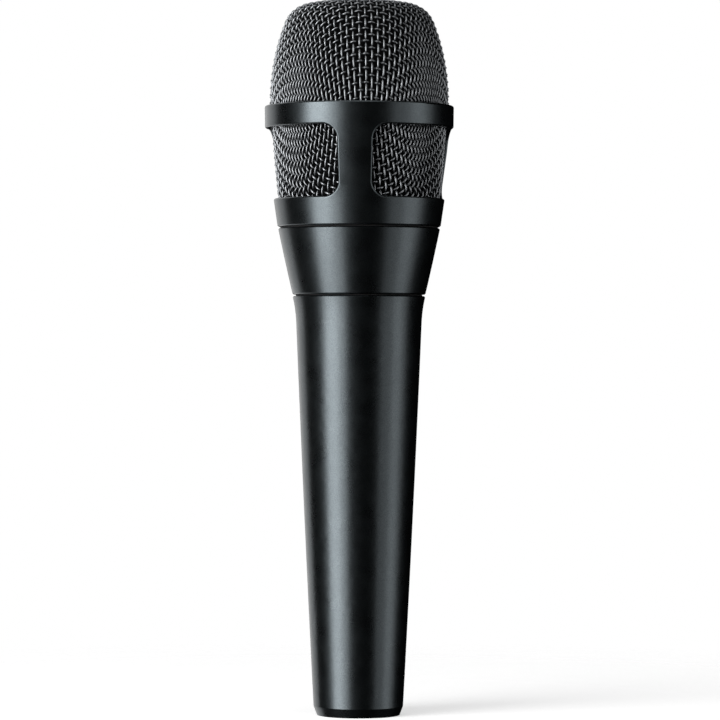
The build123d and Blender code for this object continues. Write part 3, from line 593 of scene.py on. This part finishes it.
def bowlLine(inward):
    # the lower cup from the middle of the floor it was drawn with, up its wall to the band.
    # The wall is low + (high - low) * u + bulge * 4u(1 - u)
    u = np.linspace(0, 1, curveSteps)
    taper = bowl["lowRadius"] + (bowl["highRadius"] - bowl["lowRadius"]) * u
    radius = taper + bowl["bulge"] * 4 * u * (1 - u)
    wall = np.c_[radius - inward, bowl["low"] + (bowl["high"] - bowl["low"]) * u]
    corner = bowl["floorCorner"]
    angle = np.linspace(-math.pi / 2, 0, cornerSteps)
    turnIn = np.c_[
        wall[0, 0] - corner + corner * np.cos(angle),
        wall[0, 1] + corner * np.sin(angle),
    ]
    reach = np.linspace(0, wall[0, 0] - corner, cornerSteps)
    floor = np.c_[reach, np.full(cornerSteps, wall[0, 1] - corner)]
    return np.vstack([floor, turnIn[1:], wall[1:]])


def evenly(outline, count=4000):
    # the outline at even steps: arc length, radius and height
    step = np.hypot(*np.diff(outline, axis=0).T)
    length = np.r_[0, np.cumsum(step)]
    even = np.linspace(0, length[-1], count)
    return even, np.interp(even, length, outline[:, 0]), np.interp(even, length, outline[:, 1])


nearPole = 0.5  # millimetres within which the shape is taken as flat
newtonSteps = 12
longestStep = 0.8


def quarterNet(sigma, radius, count, pitch):
    # one quarter of a woven sheet laid on a turned shape. Node (i, j) lies one pitch from
    # (i-1, j) and from (i, j-1), measured on the shape, and each anti-diagonal is solved at once
    # by Newton's steps. The sheet is kept as a flat chart: distance from the pole = sigma,
    # direction = azimuth
    net = np.full((count, count, 2), np.nan)
    run = np.arange(count) * pitch
    net[:, 0] = np.c_[run, 0 * run]
    net[0, :] = np.c_[0 * run, run]

    def miss(point, known):
        middle, step = (known + point) / 2, point - known
        out = np.maximum(np.linalg.norm(middle, axis=1), 1e-6)
        outward = middle / out[:, None]
        along = (step * outward).sum(1)
        across = step[:, 1] * outward[:, 0] - step[:, 0] * outward[:, 1]
        spread = np.where(out < nearPole, 1, np.interp(out, sigma, radius) / out)
        sideways = np.c_[-outward[:, 1], outward[:, 0]]
        slope = 2 * along[:, None] * outward + 2 * (spread**2 * across)[:, None] * sideways
        return along**2 + (across * spread) ** 2 - pitch**2, slope

    for diagonal in range(2, 2 * count - 1):
        i = np.arange(max(1, diagonal - count + 1), min(count - 1, diagonal - 1) + 1)
        j = diagonal - i
        first, second = net[i - 1, j], net[i, j - 1]
        point = first + second - net[i - 1, j - 1]
        for _ in range(newtonSteps):
            missA, slopeA = miss(point, first)
            missB, slopeB = miss(point, second)
            cross = slopeA[:, 0] * slopeB[:, 1] - slopeA[:, 1] * slopeB[:, 0]
            cross = np.where(np.abs(cross) < 1e-6, 1e-6, cross)
            step = np.c_[
                (missA * slopeB[:, 1] - missB * slopeA[:, 1]) / cross,
                (slopeA[:, 0] * missB - slopeB[:, 0] * missA) / cross,
            ]
            length = np.maximum(np.linalg.norm(step, axis=1), 1e-9)
            point = point - step * np.minimum(1, longestStep / length)[:, None]
        net[i, j] = point
    return net


def wholeNet(quarter):
    # the quarter mirrored in both axes
    right = np.concatenate([quarter[:0:-1] * [-1, 1], quarter])
    return np.concatenate([right[:, :0:-1] * [1, -1], right], axis=1)


def shareOut(quarter, sigma, radius, values, start):
    # a drawing die shares the wires out round the wall. On each circle, the wires from an axis of
    # the sheet to its diagonal, numbered 0 to last, go to 45 degrees * (t + b t (1 - t)), where
    # t = number / last. b keeps one pitch at the axis, up to the limit values["ease"]. Nearer to
    # the pole than start, the net stays as it was solved
    out = np.linalg.norm(quarter, axis=2)
    count = np.arange(len(quarter))
    last = np.maximum(np.interp(out, np.diagonal(out), count), 0.5)
    eighth = math.pi / 4
    arc = np.interp(out, sigma, radius) * eighth + 1e-6
    b = np.minimum(values["pitch"] * last / arc - 1, values["ease"])
    t = np.minimum(np.minimum(count[:, None], count[None, :]) / last, 1)
    azimuth = eighth * (t + b * t * (1 - t))
    azimuth = np.where(count[:, None] < count[None, :], 2 * eighth - azimuth, azimuth)
    weight = np.clip((out - start) / values["easeOver"], 0, 1)
    solved = np.arctan2(quarter[..., 1], quarter[..., 0])
    azimuth = weight * azimuth + (1 - weight) * solved
    return np.stack([out * np.cos(azimuth), out * np.sin(azimuth)], -1)


def threads(net, facing, shape, keep, values, outwardSign, drawnFrom, drawnTo):
    # round wires along the second index of the net. The centre line is a Catmull-Rom curve through
    # the nodes, moved off the sheet by facing * crimp * cos(pi * (i + j)), and the section is a
    # regular polygon. Drawing pulls the upright wires straight and crimps the level ones:
    # crimp = wire / 2 * (1 + k cos 2a), where a is the angle from where the wire runs level, and
    # the sheet moves in by k |cos 2a| * wire / 2
    sigma, radius, height = shape
    count = weave["samples"]
    lines, crossings = net.shape[:2]
    u = np.tile(np.arange(count) / count, crossings - 1)[None, :, None]
    k = np.repeat(np.arange(crossings - 1), count)
    p0, p1, p2, p3 = [net[:, np.clip(k + shift, 0, crossings - 1)] for shift in (-1, 0, 1, 2)]
    square, cube = 2 * p0 - 5 * p1 + 4 * p2 - p3, 3 * p1 - p0 - 3 * p2 + p3
    flat = 0.5 * (2 * p1 + (p2 - p0) * u + square * u**2 + cube * u**3)
    out = np.linalg.norm(flat, axis=2)
    direction = np.arctan2(flat[..., 1], flat[..., 0])
    azimuth = direction + math.radians(values["turn"])
    slopeR, slopeZ = np.gradient(radius, sigma), np.gradient(height, sigma)
    steep = np.hypot(slopeR, slopeZ)
    normalR = np.interp(out, sigma, -slopeZ / steep) * outwardSign
    normalZ = np.interp(out, sigma, slopeR / steep) * outwardSign
    phase = np.arange(lines)[:, None] + (k + u[0, :, 0])[None, :]
    drawn = np.clip((out - drawnFrom) / (drawnTo - drawnFrom), 0, 1)
    uneven = values["crimp"] * drawn * np.cos(2 * direction)
    rise = facing * np.cos(math.pi * phase)
    wave = weave["wire"] / 2 * (rise * (1 + facing * uneven) - np.abs(uneven))
    reach = np.interp(out, sigma, radius) + wave * normalR
    lift = np.interp(out, sigma, height) + wave * normalZ
    centre = np.stack([reach * np.cos(azimuth), reach * np.sin(azimuth), lift], -1)
    normal = np.stack([normalR * np.cos(azimuth), normalR * np.sin(azimuth), normalZ], -1)
    along = np.gradient(centre, axis=1)
    along /= np.linalg.norm(along, axis=2, keepdims=True) + 1e-12
    side = np.cross(normal, along)
    side /= np.linalg.norm(side, axis=2, keepdims=True) + 1e-12
    up = np.cross(along, side)
    sides = weave["sides"]
    angle = np.arange(sides) * 2 * math.pi / sides
    section = np.cos(angle)[:, None] * side[:, :, None] + np.sin(angle)[:, None] * up[:, :, None]
    ring = centre[:, :, None] + weave["wire"] / 2 * section
    total = ring.shape[1]
    held = keep(out)
    both = held[:, :-1] & held[:, 1:]
    line, spot = np.nonzero(both)
    base = (line * total + spot)[:, None] * sides
    s = np.arange(sides)[None, :]
    nextS = (s + 1) % sides
    quads = np.stack([base + s, base + nextS, base + sides + nextS, base + sides + s], -1)
    padded = np.pad(both, ((0, 0), (1, 1)))
    firstLine, firstSpot = np.nonzero(padded[:, 1:] & ~padded[:, :-1])
    lastLine, lastSpot = np.nonzero(padded[:, :-1] & ~padded[:, 1:])
    startCap = (firstLine * total + firstSpot)[:, None] * sides + np.arange(sides)[::-1]
    endCap = (lastLine * total + lastSpot)[:, None] * sides + np.arange(sides)
    along = np.broadcast_to((k + u[0, :, 0])[None, :, None], ring.shape[:3])
    # V of the UV map is the painted highlight mask: 1 on a crown and 0 in a dip, narrower where a
    # wire bends more. The wire's material paints a highlight there and shade in the dips
    bent = facing * uneven / values["crimp"]
    highlightNarrowing = 1 + np.where(bent > 0, weave["tightGlint"], weave["longGlint"]) * bent
    crown = np.broadcast_to(((0.5 + 0.5 * rise) ** highlightNarrowing)[..., None], ring.shape[:3])
    places = np.stack([along, crown], -1).reshape(-1, 2)
    faces = [quads.reshape(-1, 4), np.vstack([startCap, endCap])]
    return ring.reshape(-1, 3) * mm, faces, places


def wovenCup(names, outline, values, stretchAt, keepFrom, keepTo, outwardSign, node):
    # warp and weft of one cup, as two pieces
    even, radius, height = evenly(outline)
    pull = stretchAt(height)
    sigma = np.r_[0, np.cumsum(np.diff(even) / ((pull[1:] + pull[:-1]) / 2))]
    start = float(sigma[np.argmin(np.abs(height - values["drawnFrom"]))])
    quarter = quarterNet(sigma, radius, values["lines"], values["pitch"])
    net = wholeNet(shareOut(quarter, sigma, radius, values, start))
    net = net + np.random.default_rng(values["seed"]).normal(0, weave["strays"], net.shape)
    low, high = np.interp([keepFrom, keepTo], even, sigma)
    netReach = round(values["lines"] * values["pitch"], 1)
    print(node, "sheet reaches", round(float(sigma[-1]), 1), "mm, net", netReach)
    for name, sheet, facing in ((names[0], net, 1), (names[1], net.transpose(1, 0, 2), -1)):
        points, faces, places = threads(
            sheet,
            facing,
            (sigma, radius, height),
            lambda out: (out >= low) & (out <= high),
            values,
            outwardSign,
            start,
            float(sigma[-1]),
        )
        piece = meshFromFaces(name, points, faces, "grille", meshWire, sharp=80, uv=places)
    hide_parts(node)


def domeStretch(height):
    low, high = dome["bandTop"] + dome["rimHeight"], dome["stretchFrom"]
    return 1 + (dome["stretch"] - 1) * np.clip((high - height) / (high - low), 0, 1)


def bowlStretch(height):
    share = np.clip((height - bowl["low"]) / bowl["stretchOver"] + 1, 0, 1)
    return 1 + (bowl["stretch"] - 1) * share


domeOutline = domeLine(weave["wire"])
domeLength = evenly(domeOutline)[0][-1]
wovenCup(
    ("upperMeshWarp", "upperMeshWeft"),
    domeOutline,
    dome,
    domeStretch,
    0,
    domeLength,
    1,
    "upper_mesh",
)
bowlOutline = bowlLine(weave["wire"])
bowlLengths = np.r_[0, np.cumsum(np.hypot(*np.diff(bowlOutline, axis=0).T))]
wallStart = float(bowlLengths[np.argmin(np.abs(bowlOutline[:, 1] - bowl["low"]))])
wovenCup(
    ("lowerMeshWarp", "lowerMeshWeft"),
    bowlOutline,
    bowl,
    bowlStretch,
    wallStart,
    float(bowlLengths[-1]),
    -1,
    "lower_mesh",
)


sway = 0.7  # radians that a wave leans to and fro as it goes up
endFade = 8  # a foam skin is drawn in less over one eighth of its outline at each end
poleCalm = 3  # millimetres from the axis within which the pits shrink


def softly(angle, height, rng, waves):
    # slow uneven relief from -1 to 1: waves with whole numbers of turns, so that it closes round
    # the axis
    total = 0 * angle * height
    for turns, tall in waves:
        phase = rng.uniform(0, 2 * math.pi, 3)
        bend = turns * angle + phase[0] + sway * np.sin(height * tall + phase[1])
        total = total + np.sin(bend) * np.cos(height * tall + phase[2])
    return total / len(waves)


def foamWall(outline, way, values, rng):
    # one skin of a foam wall, from an outline of (radius, height) that runs upwards, carried round
    # the axis. It is drawn into the foam by uneven * (1 - waves) / 2 + pits * random, less at the
    # outline's ends
    angle = anglesOf(values["columns"])
    length, radius, height = [column[:, None] for column in evenly(outline, values["rows"])]
    slopeR, slopeZ = np.gradient(radius[:, 0])[:, None], np.gradient(height[:, 0])[:, None]
    steep = np.hypot(slopeR, slopeZ)
    share = length / length[-1]
    fade = np.clip(share * endFade, 0, 1) * np.clip(endFade * (1 - share), 0, 1)
    waves = softly(angle, height, rng, values["waves"])
    pits = rng.uniform(0, 1, waves.shape) * np.clip(radius / poleCalm, 0, 1)
    drawn = way * fade * (values["uneven"] * (1 - waves) / 2 + values["pits"] * pits)
    reach = radius - drawn * slopeZ / steep
    lift = height + drawn * slopeR / steep
    return roundAxis(reach, lift, angle)


def foamLiner(name, outer, inner, values, node, body, domed=False):
    # the inner skin taken downwards and the outer one upwards, joined at the rims, or with a pole
    # on each skin
    rng = np.random.default_rng(values["seed"])
    skins = [foamWall(inner, -1, values, rng)[::-1], foamWall(outer, 1, values, rng)]
    rows, columns = 2 * values["rows"], values["columns"]
    faces = closedFaces(rows, columns) if domed else [gridFaces(rows, columns, True, True)]
    points = np.concatenate(skins).reshape(-1, 3) * mm
    piece = meshFromFaces(name, points, faces, body, values["foam"], sharp=75)
    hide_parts(node)
    print(name, len(piece.data.polygons), "faces")


liner = {
    "thickness": 3.0,
    "behindWire": 1.4,  # from the mesh's outer face to the foam
    "rows": 90,
    "columns": 320,
    "uneven": 0.25,
    "pits": 0.16,
    "waves": ((5, 0.35), (11, 0.7), (19, 1.2)),
    "seed": 4,
    "fill": 0.8,
    "slot": "grille_foam",
    "foam": grilleFoam,
    "capFoot": 157.2,  # the foam cap's rim, just above the foam sleeve
    "sleeve": (134.8, 156.9),
    "poleRing": 0.02,  # radius of the small ring round the pole, closed by one face
}


def domeLiner(inward):
    outline = domeLine(inward)[::-1]
    outline = outline[outline[:, 1] >= liner["capFoot"]]
    outline[-1, 0] = liner["poleRing"]
    return np.vstack([[outline[0, 0], liner["capFoot"]], outline])


def bowlLiner(inward):
    outline = bowlLine(inward)
    height = np.linspace(*liner["sleeve"], 60)
    wall = outline[outline[:, 1] >= bowl["low"] - 1e-6]
    return np.c_[np.interp(height, wall[:, 1], wall[:, 0]), height]


near, far = liner["behindWire"], liner["behindWire"] + liner["thickness"]
sleeveLiner = {**liner, "rows": 60, "seed": 9}
foamLiner("foamCapLiner", domeLiner(near), domeLiner(far), liner, "foam_cap", "grille", domed=True)
foamLiner(
    "foamSleeveLiner", bowlLiner(near), bowlLiner(far), sleeveLiner, "foam_sleeve", "grille"
)

wedge = {
    "low": 64.0,
    "high": 82.0,
    "innerRadius": 8.75,
    "outerLow": 12.55,  # the handle's bore, less a little, at each end
    "outerHigh": 13.05,
    "crown": 0.9,  # how far the ends pull in
    "innerCrown": 0.4,
    "rows": 40,
    "columns": 120,
    "uneven": 0.3,
    "pits": 0.12,
    "waves": ((3, 0.4), (7, 0.8)),
    "seed": 21,
    "fill": 0.7,
    "slot": "pad_foam",
    # the pit colour is painted shade in the foam's cells
    "foam": openFoam("greyFoamSliced", {"strut": "#5b5b5e", "shadedPit": "#2a2a2c", "cell": 0.8}),
}


def wedgeSide(lowRadius, highRadius, bulge):
    # radius = straight taper + bulge * (1 - t^6), where t runs from -1 to 1 up the pad
    t = np.linspace(-1, 1, 2 * wedge["rows"])
    radius = lowRadius + (highRadius - lowRadius) * (t + 1) / 2 + bulge * (1 - t**6)
    return np.c_[radius, wedge["low"] + (wedge["high"] - wedge["low"]) * (t + 1) / 2]


wedgeBore = wedge["innerRadius"] + wedge["innerCrown"]
foamLiner(
    "transformerWedgePad",
    wedgeSide(
        wedge["outerLow"] - wedge["crown"], wedge["outerHigh"] - wedge["crown"], wedge["crown"]
    ),
    wedgeSide(wedgeBore, wedgeBore, -wedge["innerCrown"]),
    wedge,
    "transformer_pad",
    "handle",
)

# The rubber mount and the two slack leads give as the cartridge floats. Each is a copy of its
# solid's own mesh, left where the solid stands. The table gives its name, "held", the level up to
# which the real part stays with the handle, "free", the level from which it goes along with the
# cartridge, and its slot
flexing = {
    "shock_mount": {
        "name": "flexingShockMount", "held": 124.9, "free": 127.4, "slot": "mount_rubber",
    },
    "cartridge_lead_1": {
        "name": "flexingLeadOne", "held": 80.0, "free": 105.0, "slot": "lead_sleeve_red",
    },
    "cartridge_lead_2": {
        "name": "flexingLeadTwo", "held": 80.0, "free": 105.0, "slot": "lead_sleeve_white",
    },
}


def flexible(node, values):
    piece = bpy.data.objects.new(values["name"], nodes[node].data.copy())
    bpy.context.scene.collection.objects.link(piece)
    piece.data.transform(nodes[node].matrix_world)
    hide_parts(node)
    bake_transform(piece)


for node, values in flexing.items():
    flexible(node, values)
print("flexing pieces", len(flexing))

# The diaphragm's rim is clamped in the cartridge and its middle goes with the coil, so it is two
# pieces that meet at the crest of the rolled surround
film = {
    "level": 150.0,
    "thickness": 0.2,
    "rimOuter": 13.35,
    "rimInner": 12.75,
    "landing": 7.6,
    "domeEdge": 6.7,
    "axisHole": 0.05,
    "surroundRise": 0.9,
    "domeRise": 1.7,
    "domeSteps": 16,
    "surroundSteps": 8,
    "edgeSteps": 10,
    "columns": 128,
    "slot": "film",
}
surroundCrest = (film["rimInner"] + film["landing"]) / 2


def shallowBow(radius, middle, halfWidth, rise):
    # height of a shallow arc over its chord: sqrt(R^2 - (radius - middle)^2) - (R - rise)
    bow = (halfWidth**2 + rise**2) / (2 * rise)
    return np.sqrt(bow**2 - (radius - middle) ** 2) - (bow - rise)


def filmSkin(radius):
    # the lower skin's section from its inner to its outer end, and the upper one back, as
    # (radius, height)
    half = (film["rimInner"] - film["landing"]) / 2
    onSurround = (radius > film["landing"]) & (radius < film["rimInner"])
    across = np.where(onSurround, radius, surroundCrest)
    roll = shallowBow(across, surroundCrest, half, film["surroundRise"])
    onDome = radius < film["domeEdge"]
    cap = shallowBow(np.where(onDome, radius, 0), 0, film["domeEdge"], film["domeRise"])
    under = film["level"] + np.where(onDome, cap, np.where(onSurround, roll, 0))
    return np.concatenate([np.c_[radius, under], np.c_[radius, under + film["thickness"]][::-1]])


def filmPiece(name, radius, body=None):
    # the section carried round the axis. The piece that rides on a body is the one with the poles
    section = filmSkin(radius)
    rows, columns = len(section), film["columns"]
    points = roundAxis(section[:, :1], section[:, 1:], anglesOf(columns)).reshape(-1, 3) * mm
    faces = closedFaces(rows, columns) if body else [gridFaces(rows, columns, True, True)]
    material = nodes["diaphragm"].material_slots[0].material
    piece = meshFromFaces(name, points, faces, body, material, sharp=60)
    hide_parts("diaphragm")
    return piece


toDome = np.linspace(film["axisHole"], film["domeEdge"], film["domeSteps"])
toCrest = np.linspace(film["landing"], surroundCrest, film["surroundSteps"])
toRim = np.linspace(surroundCrest, film["rimInner"], film["edgeSteps"])
filmPiece("diaphragmMiddle", np.r_[toDome, toCrest], "moving_coil")
filmEdge = filmPiece("diaphragmEdge", np.r_[toRim, film["rimOuter"]])
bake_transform(filmEdge)
print("diaphragm in two pieces")

# Thin black gaskets that fill the two seams to just below the surface: radii and levels
gaskets = {
    "handleSeamGasket": {"inner": 14.6, "outer": 16.75, "low": 110.72, "high": 111.08},
    "collarSeamGasket": {"inner": 20.3, "outer": 20.85, "low": 128.62, "high": 128.98},
}
gasketColumns = 160
gasketBend = 7  # points round the outer edge
# vulcanised fibre: black and dull, with a fine felted grain
gasketLook = {
    "colour": "#101011",
    "worn": "#1a1a1b",
    "ior": 1.5,
    "roughness": 0.8,
    "grain": 0.3,
    "relief": 0.3,
}
gasketFibre = mouldedPlastic("fibreGasketPunched", gasketLook)


def gasket(name, values):
    # a flat ring: the closed section (radius, height), with its outer edge rounded, carried round
    # the axis
    bend = np.linspace(-math.pi / 2, math.pi / 2, gasketBend)
    half = (values["high"] - values["low"]) / 2
    edge = values["outer"] - half + half * np.cos(bend)
    radius = np.r_[values["inner"], edge, values["inner"]][:, None]
    height = np.r_[values["low"], values["low"] + half + half * np.sin(bend), values["high"]]
    points = roundAxis(radius, height[:, None], anglesOf(gasketColumns)).reshape(-1, 3) * mm
    quads = gridFaces(len(radius), gasketColumns, closeRows=True, closeColumns=True)
    piece = meshFromFaces(name, points, [quads], "handle", gasketFibre)


for name, values in gaskets.items():
    gasket(name, values)

screen = {
    "radius": 12.35,
    "low": 154.45,
    "thickness": 0.2,
    "sag": 0.04,
    "sagWaves": 3,  # round the axis
    "poleRing": 0.02,
    "rings": 26,
    "columns": 96,
}


def stretchedScreen(values):
    # a disc of cloth with an upper and a lower face, each
    # (r cos(a), r sin(a), low + sag * sin(pi r / R)^2 * cos(3 a))
    ring = np.linspace(values["poleRing"], values["radius"], values["rings"])[:, None]
    angle = anglesOf(values["columns"])
    fromAxis = np.sin(math.pi * ring / values["radius"]) ** 2
    wavy = values["sag"] * fromAxis * np.cos(values["sagWaves"] * angle)
    lower = roundAxis(ring, values["low"] + wavy, angle)
    upper = roundAxis(ring, values["low"] + values["thickness"] + wavy, angle)[::-1]
    points = np.concatenate([lower, upper]).reshape(-1, 3) * mm
    faces = closedFaces(2 * values["rings"], values["columns"])
    piece = meshFromFaces("capScreenCloth", points, faces, "cartridge", acousticCloth, sharp=60)
    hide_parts("cap_screen")
    print("capScreenCloth", len(piece.data.polygons), "faces")


stretchedScreen(screen)

studio = {
    "white": 1.0,
    "fill": 0.3,
    "target": 0.1,  # height that the lamps aim at
    "clothRadius": 1.8,
    "clothFrom": -122,  # round from the camera, with the gap behind on the left
    "clothTo": 192,
    "clothLift": 89,
    "clothColumns": 80,
    "clothRows": 50,
    "floorPole": 0.0005,
    "floorRadius": 0.3,
    "floorRings": 40,
    "floorColumns": 96,
    "fadeFrom": 0.05,
    "fadeTo": 0.24,
    "floorGlow": 0.55,  # what the camera adds to the lit board, so that it is near white
}
lamps = {
    "keyBroad": {
        "angle": -47, "lift": 2, "distance": 0.95, "width": 0.80, "height": 1.3, "level": 2.55,
    },
    "keyCore": {
        "angle": -51, "lift": 6, "distance": 0.93, "width": 0.42, "height": 1.0, "level": 2.85,
    },
    "keyTop": {
        "angle": -50, "lift": 20, "distance": 0.91, "width": 0.5, "height": 0.5, "level": 2.0,
    },
    "rightBroad": {
        "angle": 69, "lift": 4, "distance": 0.95, "width": 1.05, "height": 1.2, "level": 0.65,
    },
    "rightCore": {
        "angle": 76, "lift": 4, "distance": 0.93, "width": 0.36, "height": 1.0, "level": 0.82,
    },
    "above": {
        "angle": -20, "lift": 70, "distance": 0.9, "width": 0.9, "height": 0.7, "level": 1.3,
    },
}


def softBox(name, values):
    # a rectangular lamp that faces the object. Its level is its brightness as seen, so
    # power = level * pi * area
    data = bpy.data.lights.new(name, "AREA")
    data.shape = "RECTANGLE"
    data.size, data.size_y = values["width"], values["height"]
    data.energy = values["level"] * math.pi * values["width"] * values["height"]
    lamp = bpy.data.objects.new(name, data)
    bpy.context.scene.collection.objects.link(lamp)
    lamp.visible_camera = False
    lift = math.radians(values["lift"])
    flat = towards(camera["azimuth"] + values["angle"])
    away = flat * math.cos(lift) + Vector((0, 0, math.sin(lift)))
    lamp.location = away * values["distance"] + Vector((0, 0, studio["target"]))
    lamp.rotation_mode = "QUATERNION"
    lamp.rotation_quaternion = (-away).to_track_quat("-Z", "Y")


for name, values in lamps.items():
    softBox(name, values)

world = bpy.data.worlds.new("whiteStudio")
bpy.context.scene.world = world
world.use_nodes = True
worldTree = world.node_tree
worldTree.nodes.clear()
rays = addNode(worldTree, "ShaderNodeLightPath").outputs
seen = rays["Is Camera Ray"]
for ray in ("Is Glossy Ray", "Is Transmission Ray"):
    either = {0: seen, 1: rays[ray]}
    seen = addNode(worldTree, "ShaderNodeMath", {"operation": "MAXIMUM"}, either).outputs[0]
strength = rangeFrom(worldTree, seen, studio["fill"], studio["white"], 0, 1)
whiteness = {"Color": (1, 1, 1, 1)}
backdrop = addNode(worldTree, "ShaderNodeBackground", whiteness, {"Strength": strength})
addNode(worldTree, "ShaderNodeOutputWorld", links={"Surface": backdrop.outputs[0]})


def makeScreen():
    # black cloth round the set, open behind the object on the left: a sphere's part,
    # (R cos(lift) sin(angle), -R cos(lift) cos(angle), R sin(lift)). It shapes the reflections only
    columns, rows, high = studio["clothColumns"], studio["clothRows"], studio["clothLift"]
    span = np.linspace(studio["clothFrom"], studio["clothTo"], columns)
    angle = np.radians(span + camera["azimuth"])[:, None]
    lift = np.radians(np.linspace(-high, high, rows))[None, :]
    level = np.cos(lift)
    points = studio["clothRadius"] * np.stack(
        [level * np.sin(angle), -level * np.cos(angle), np.sin(lift) + 0 * angle], -1
    )
    settings = {"Base Color": fromHex("#0a0a0a"), "Roughness": 1.0, "Specular IOR Level": 0.0}
    cloth = newMaterial("blackStudioCloth", settings)[0]
    faces = [gridFaces(columns, rows)]
    backCloth = meshFromFaces("studioScreen", points.reshape(-1, 3), faces, None, cloth)
    backCloth.visible_camera = False


makeScreen()


def makeFloor():
    # a pale round board, (r cos(a), r sin(a), 0), that fades into the white background at its rim.
    # Only the camera sees it, so it keeps the object's shadow and the dark paint doesn't mirror it
    rings, columns = studio["floorRings"], studio["floorColumns"]
    radius = np.linspace(studio["floorPole"], studio["floorRadius"], rings)[:, None]
    points = roundAxis(radius, 0, anglesOf(columns)).reshape(-1, 3)
    faces = [gridFaces(rings, columns, closeColumns=True)[:, ::-1], np.arange(columns)[None, :]]
    material = bpy.data.materials.new("paleBoard")
    material.use_nodes = True
    tree = material.node_tree
    tree.nodes.clear()
    place = addNode(tree, "ShaderNodeTexCoord").outputs["Object"]
    out = addNode(tree, "ShaderNodeVectorMath", {"operation": "LENGTH"}, {0: place})
    shown = rangeFrom(tree, out.outputs["Value"], 1, 0, studio["fadeFrom"], studio["fadeTo"])
    back = addNode(tree, "ShaderNodeNewGeometry").outputs["Backfacing"]
    front = addNode(tree, "ShaderNodeMath", {"operation": "SUBTRACT", 0: 1.0}, {1: back}).outputs[0]
    direct = addNode(tree, "ShaderNodeLightPath").outputs["Is Camera Ray"]
    for share in (front, direct):
        both = {0: shown, 1: share}
        shown = addNode(tree, "ShaderNodeMath", {"operation": "MULTIPLY"}, both).outputs[0]
    lit = addNode(tree, "ShaderNodeBsdfDiffuse", {"Color": fromHex("#f4f4f4")}).outputs[0]
    settings = {"Color": (1, 1, 1, 1), "Strength": studio["floorGlow"]}
    glow = addNode(tree, "ShaderNodeEmission", settings).outputs[0]
    board = addNode(tree, "ShaderNodeAddShader", {}, {0: lit, 1: glow}).outputs[0]
    clear = addNode(tree, "ShaderNodeBsdfTransparent").outputs[0]
    mixed = addNode(tree, "ShaderNodeMixShader", {}, {0: shown, 1: clear, 2: board}).outputs[0]
    addNode(tree, "ShaderNodeOutputMaterial", links={"Surface": mixed})
    meshFromFaces("floorBoard", points, faces, None, material)


makeFloor()
bpy.context.scene.view_settings.view_transform = "Standard"
print("stage: lamps", list(lamps))
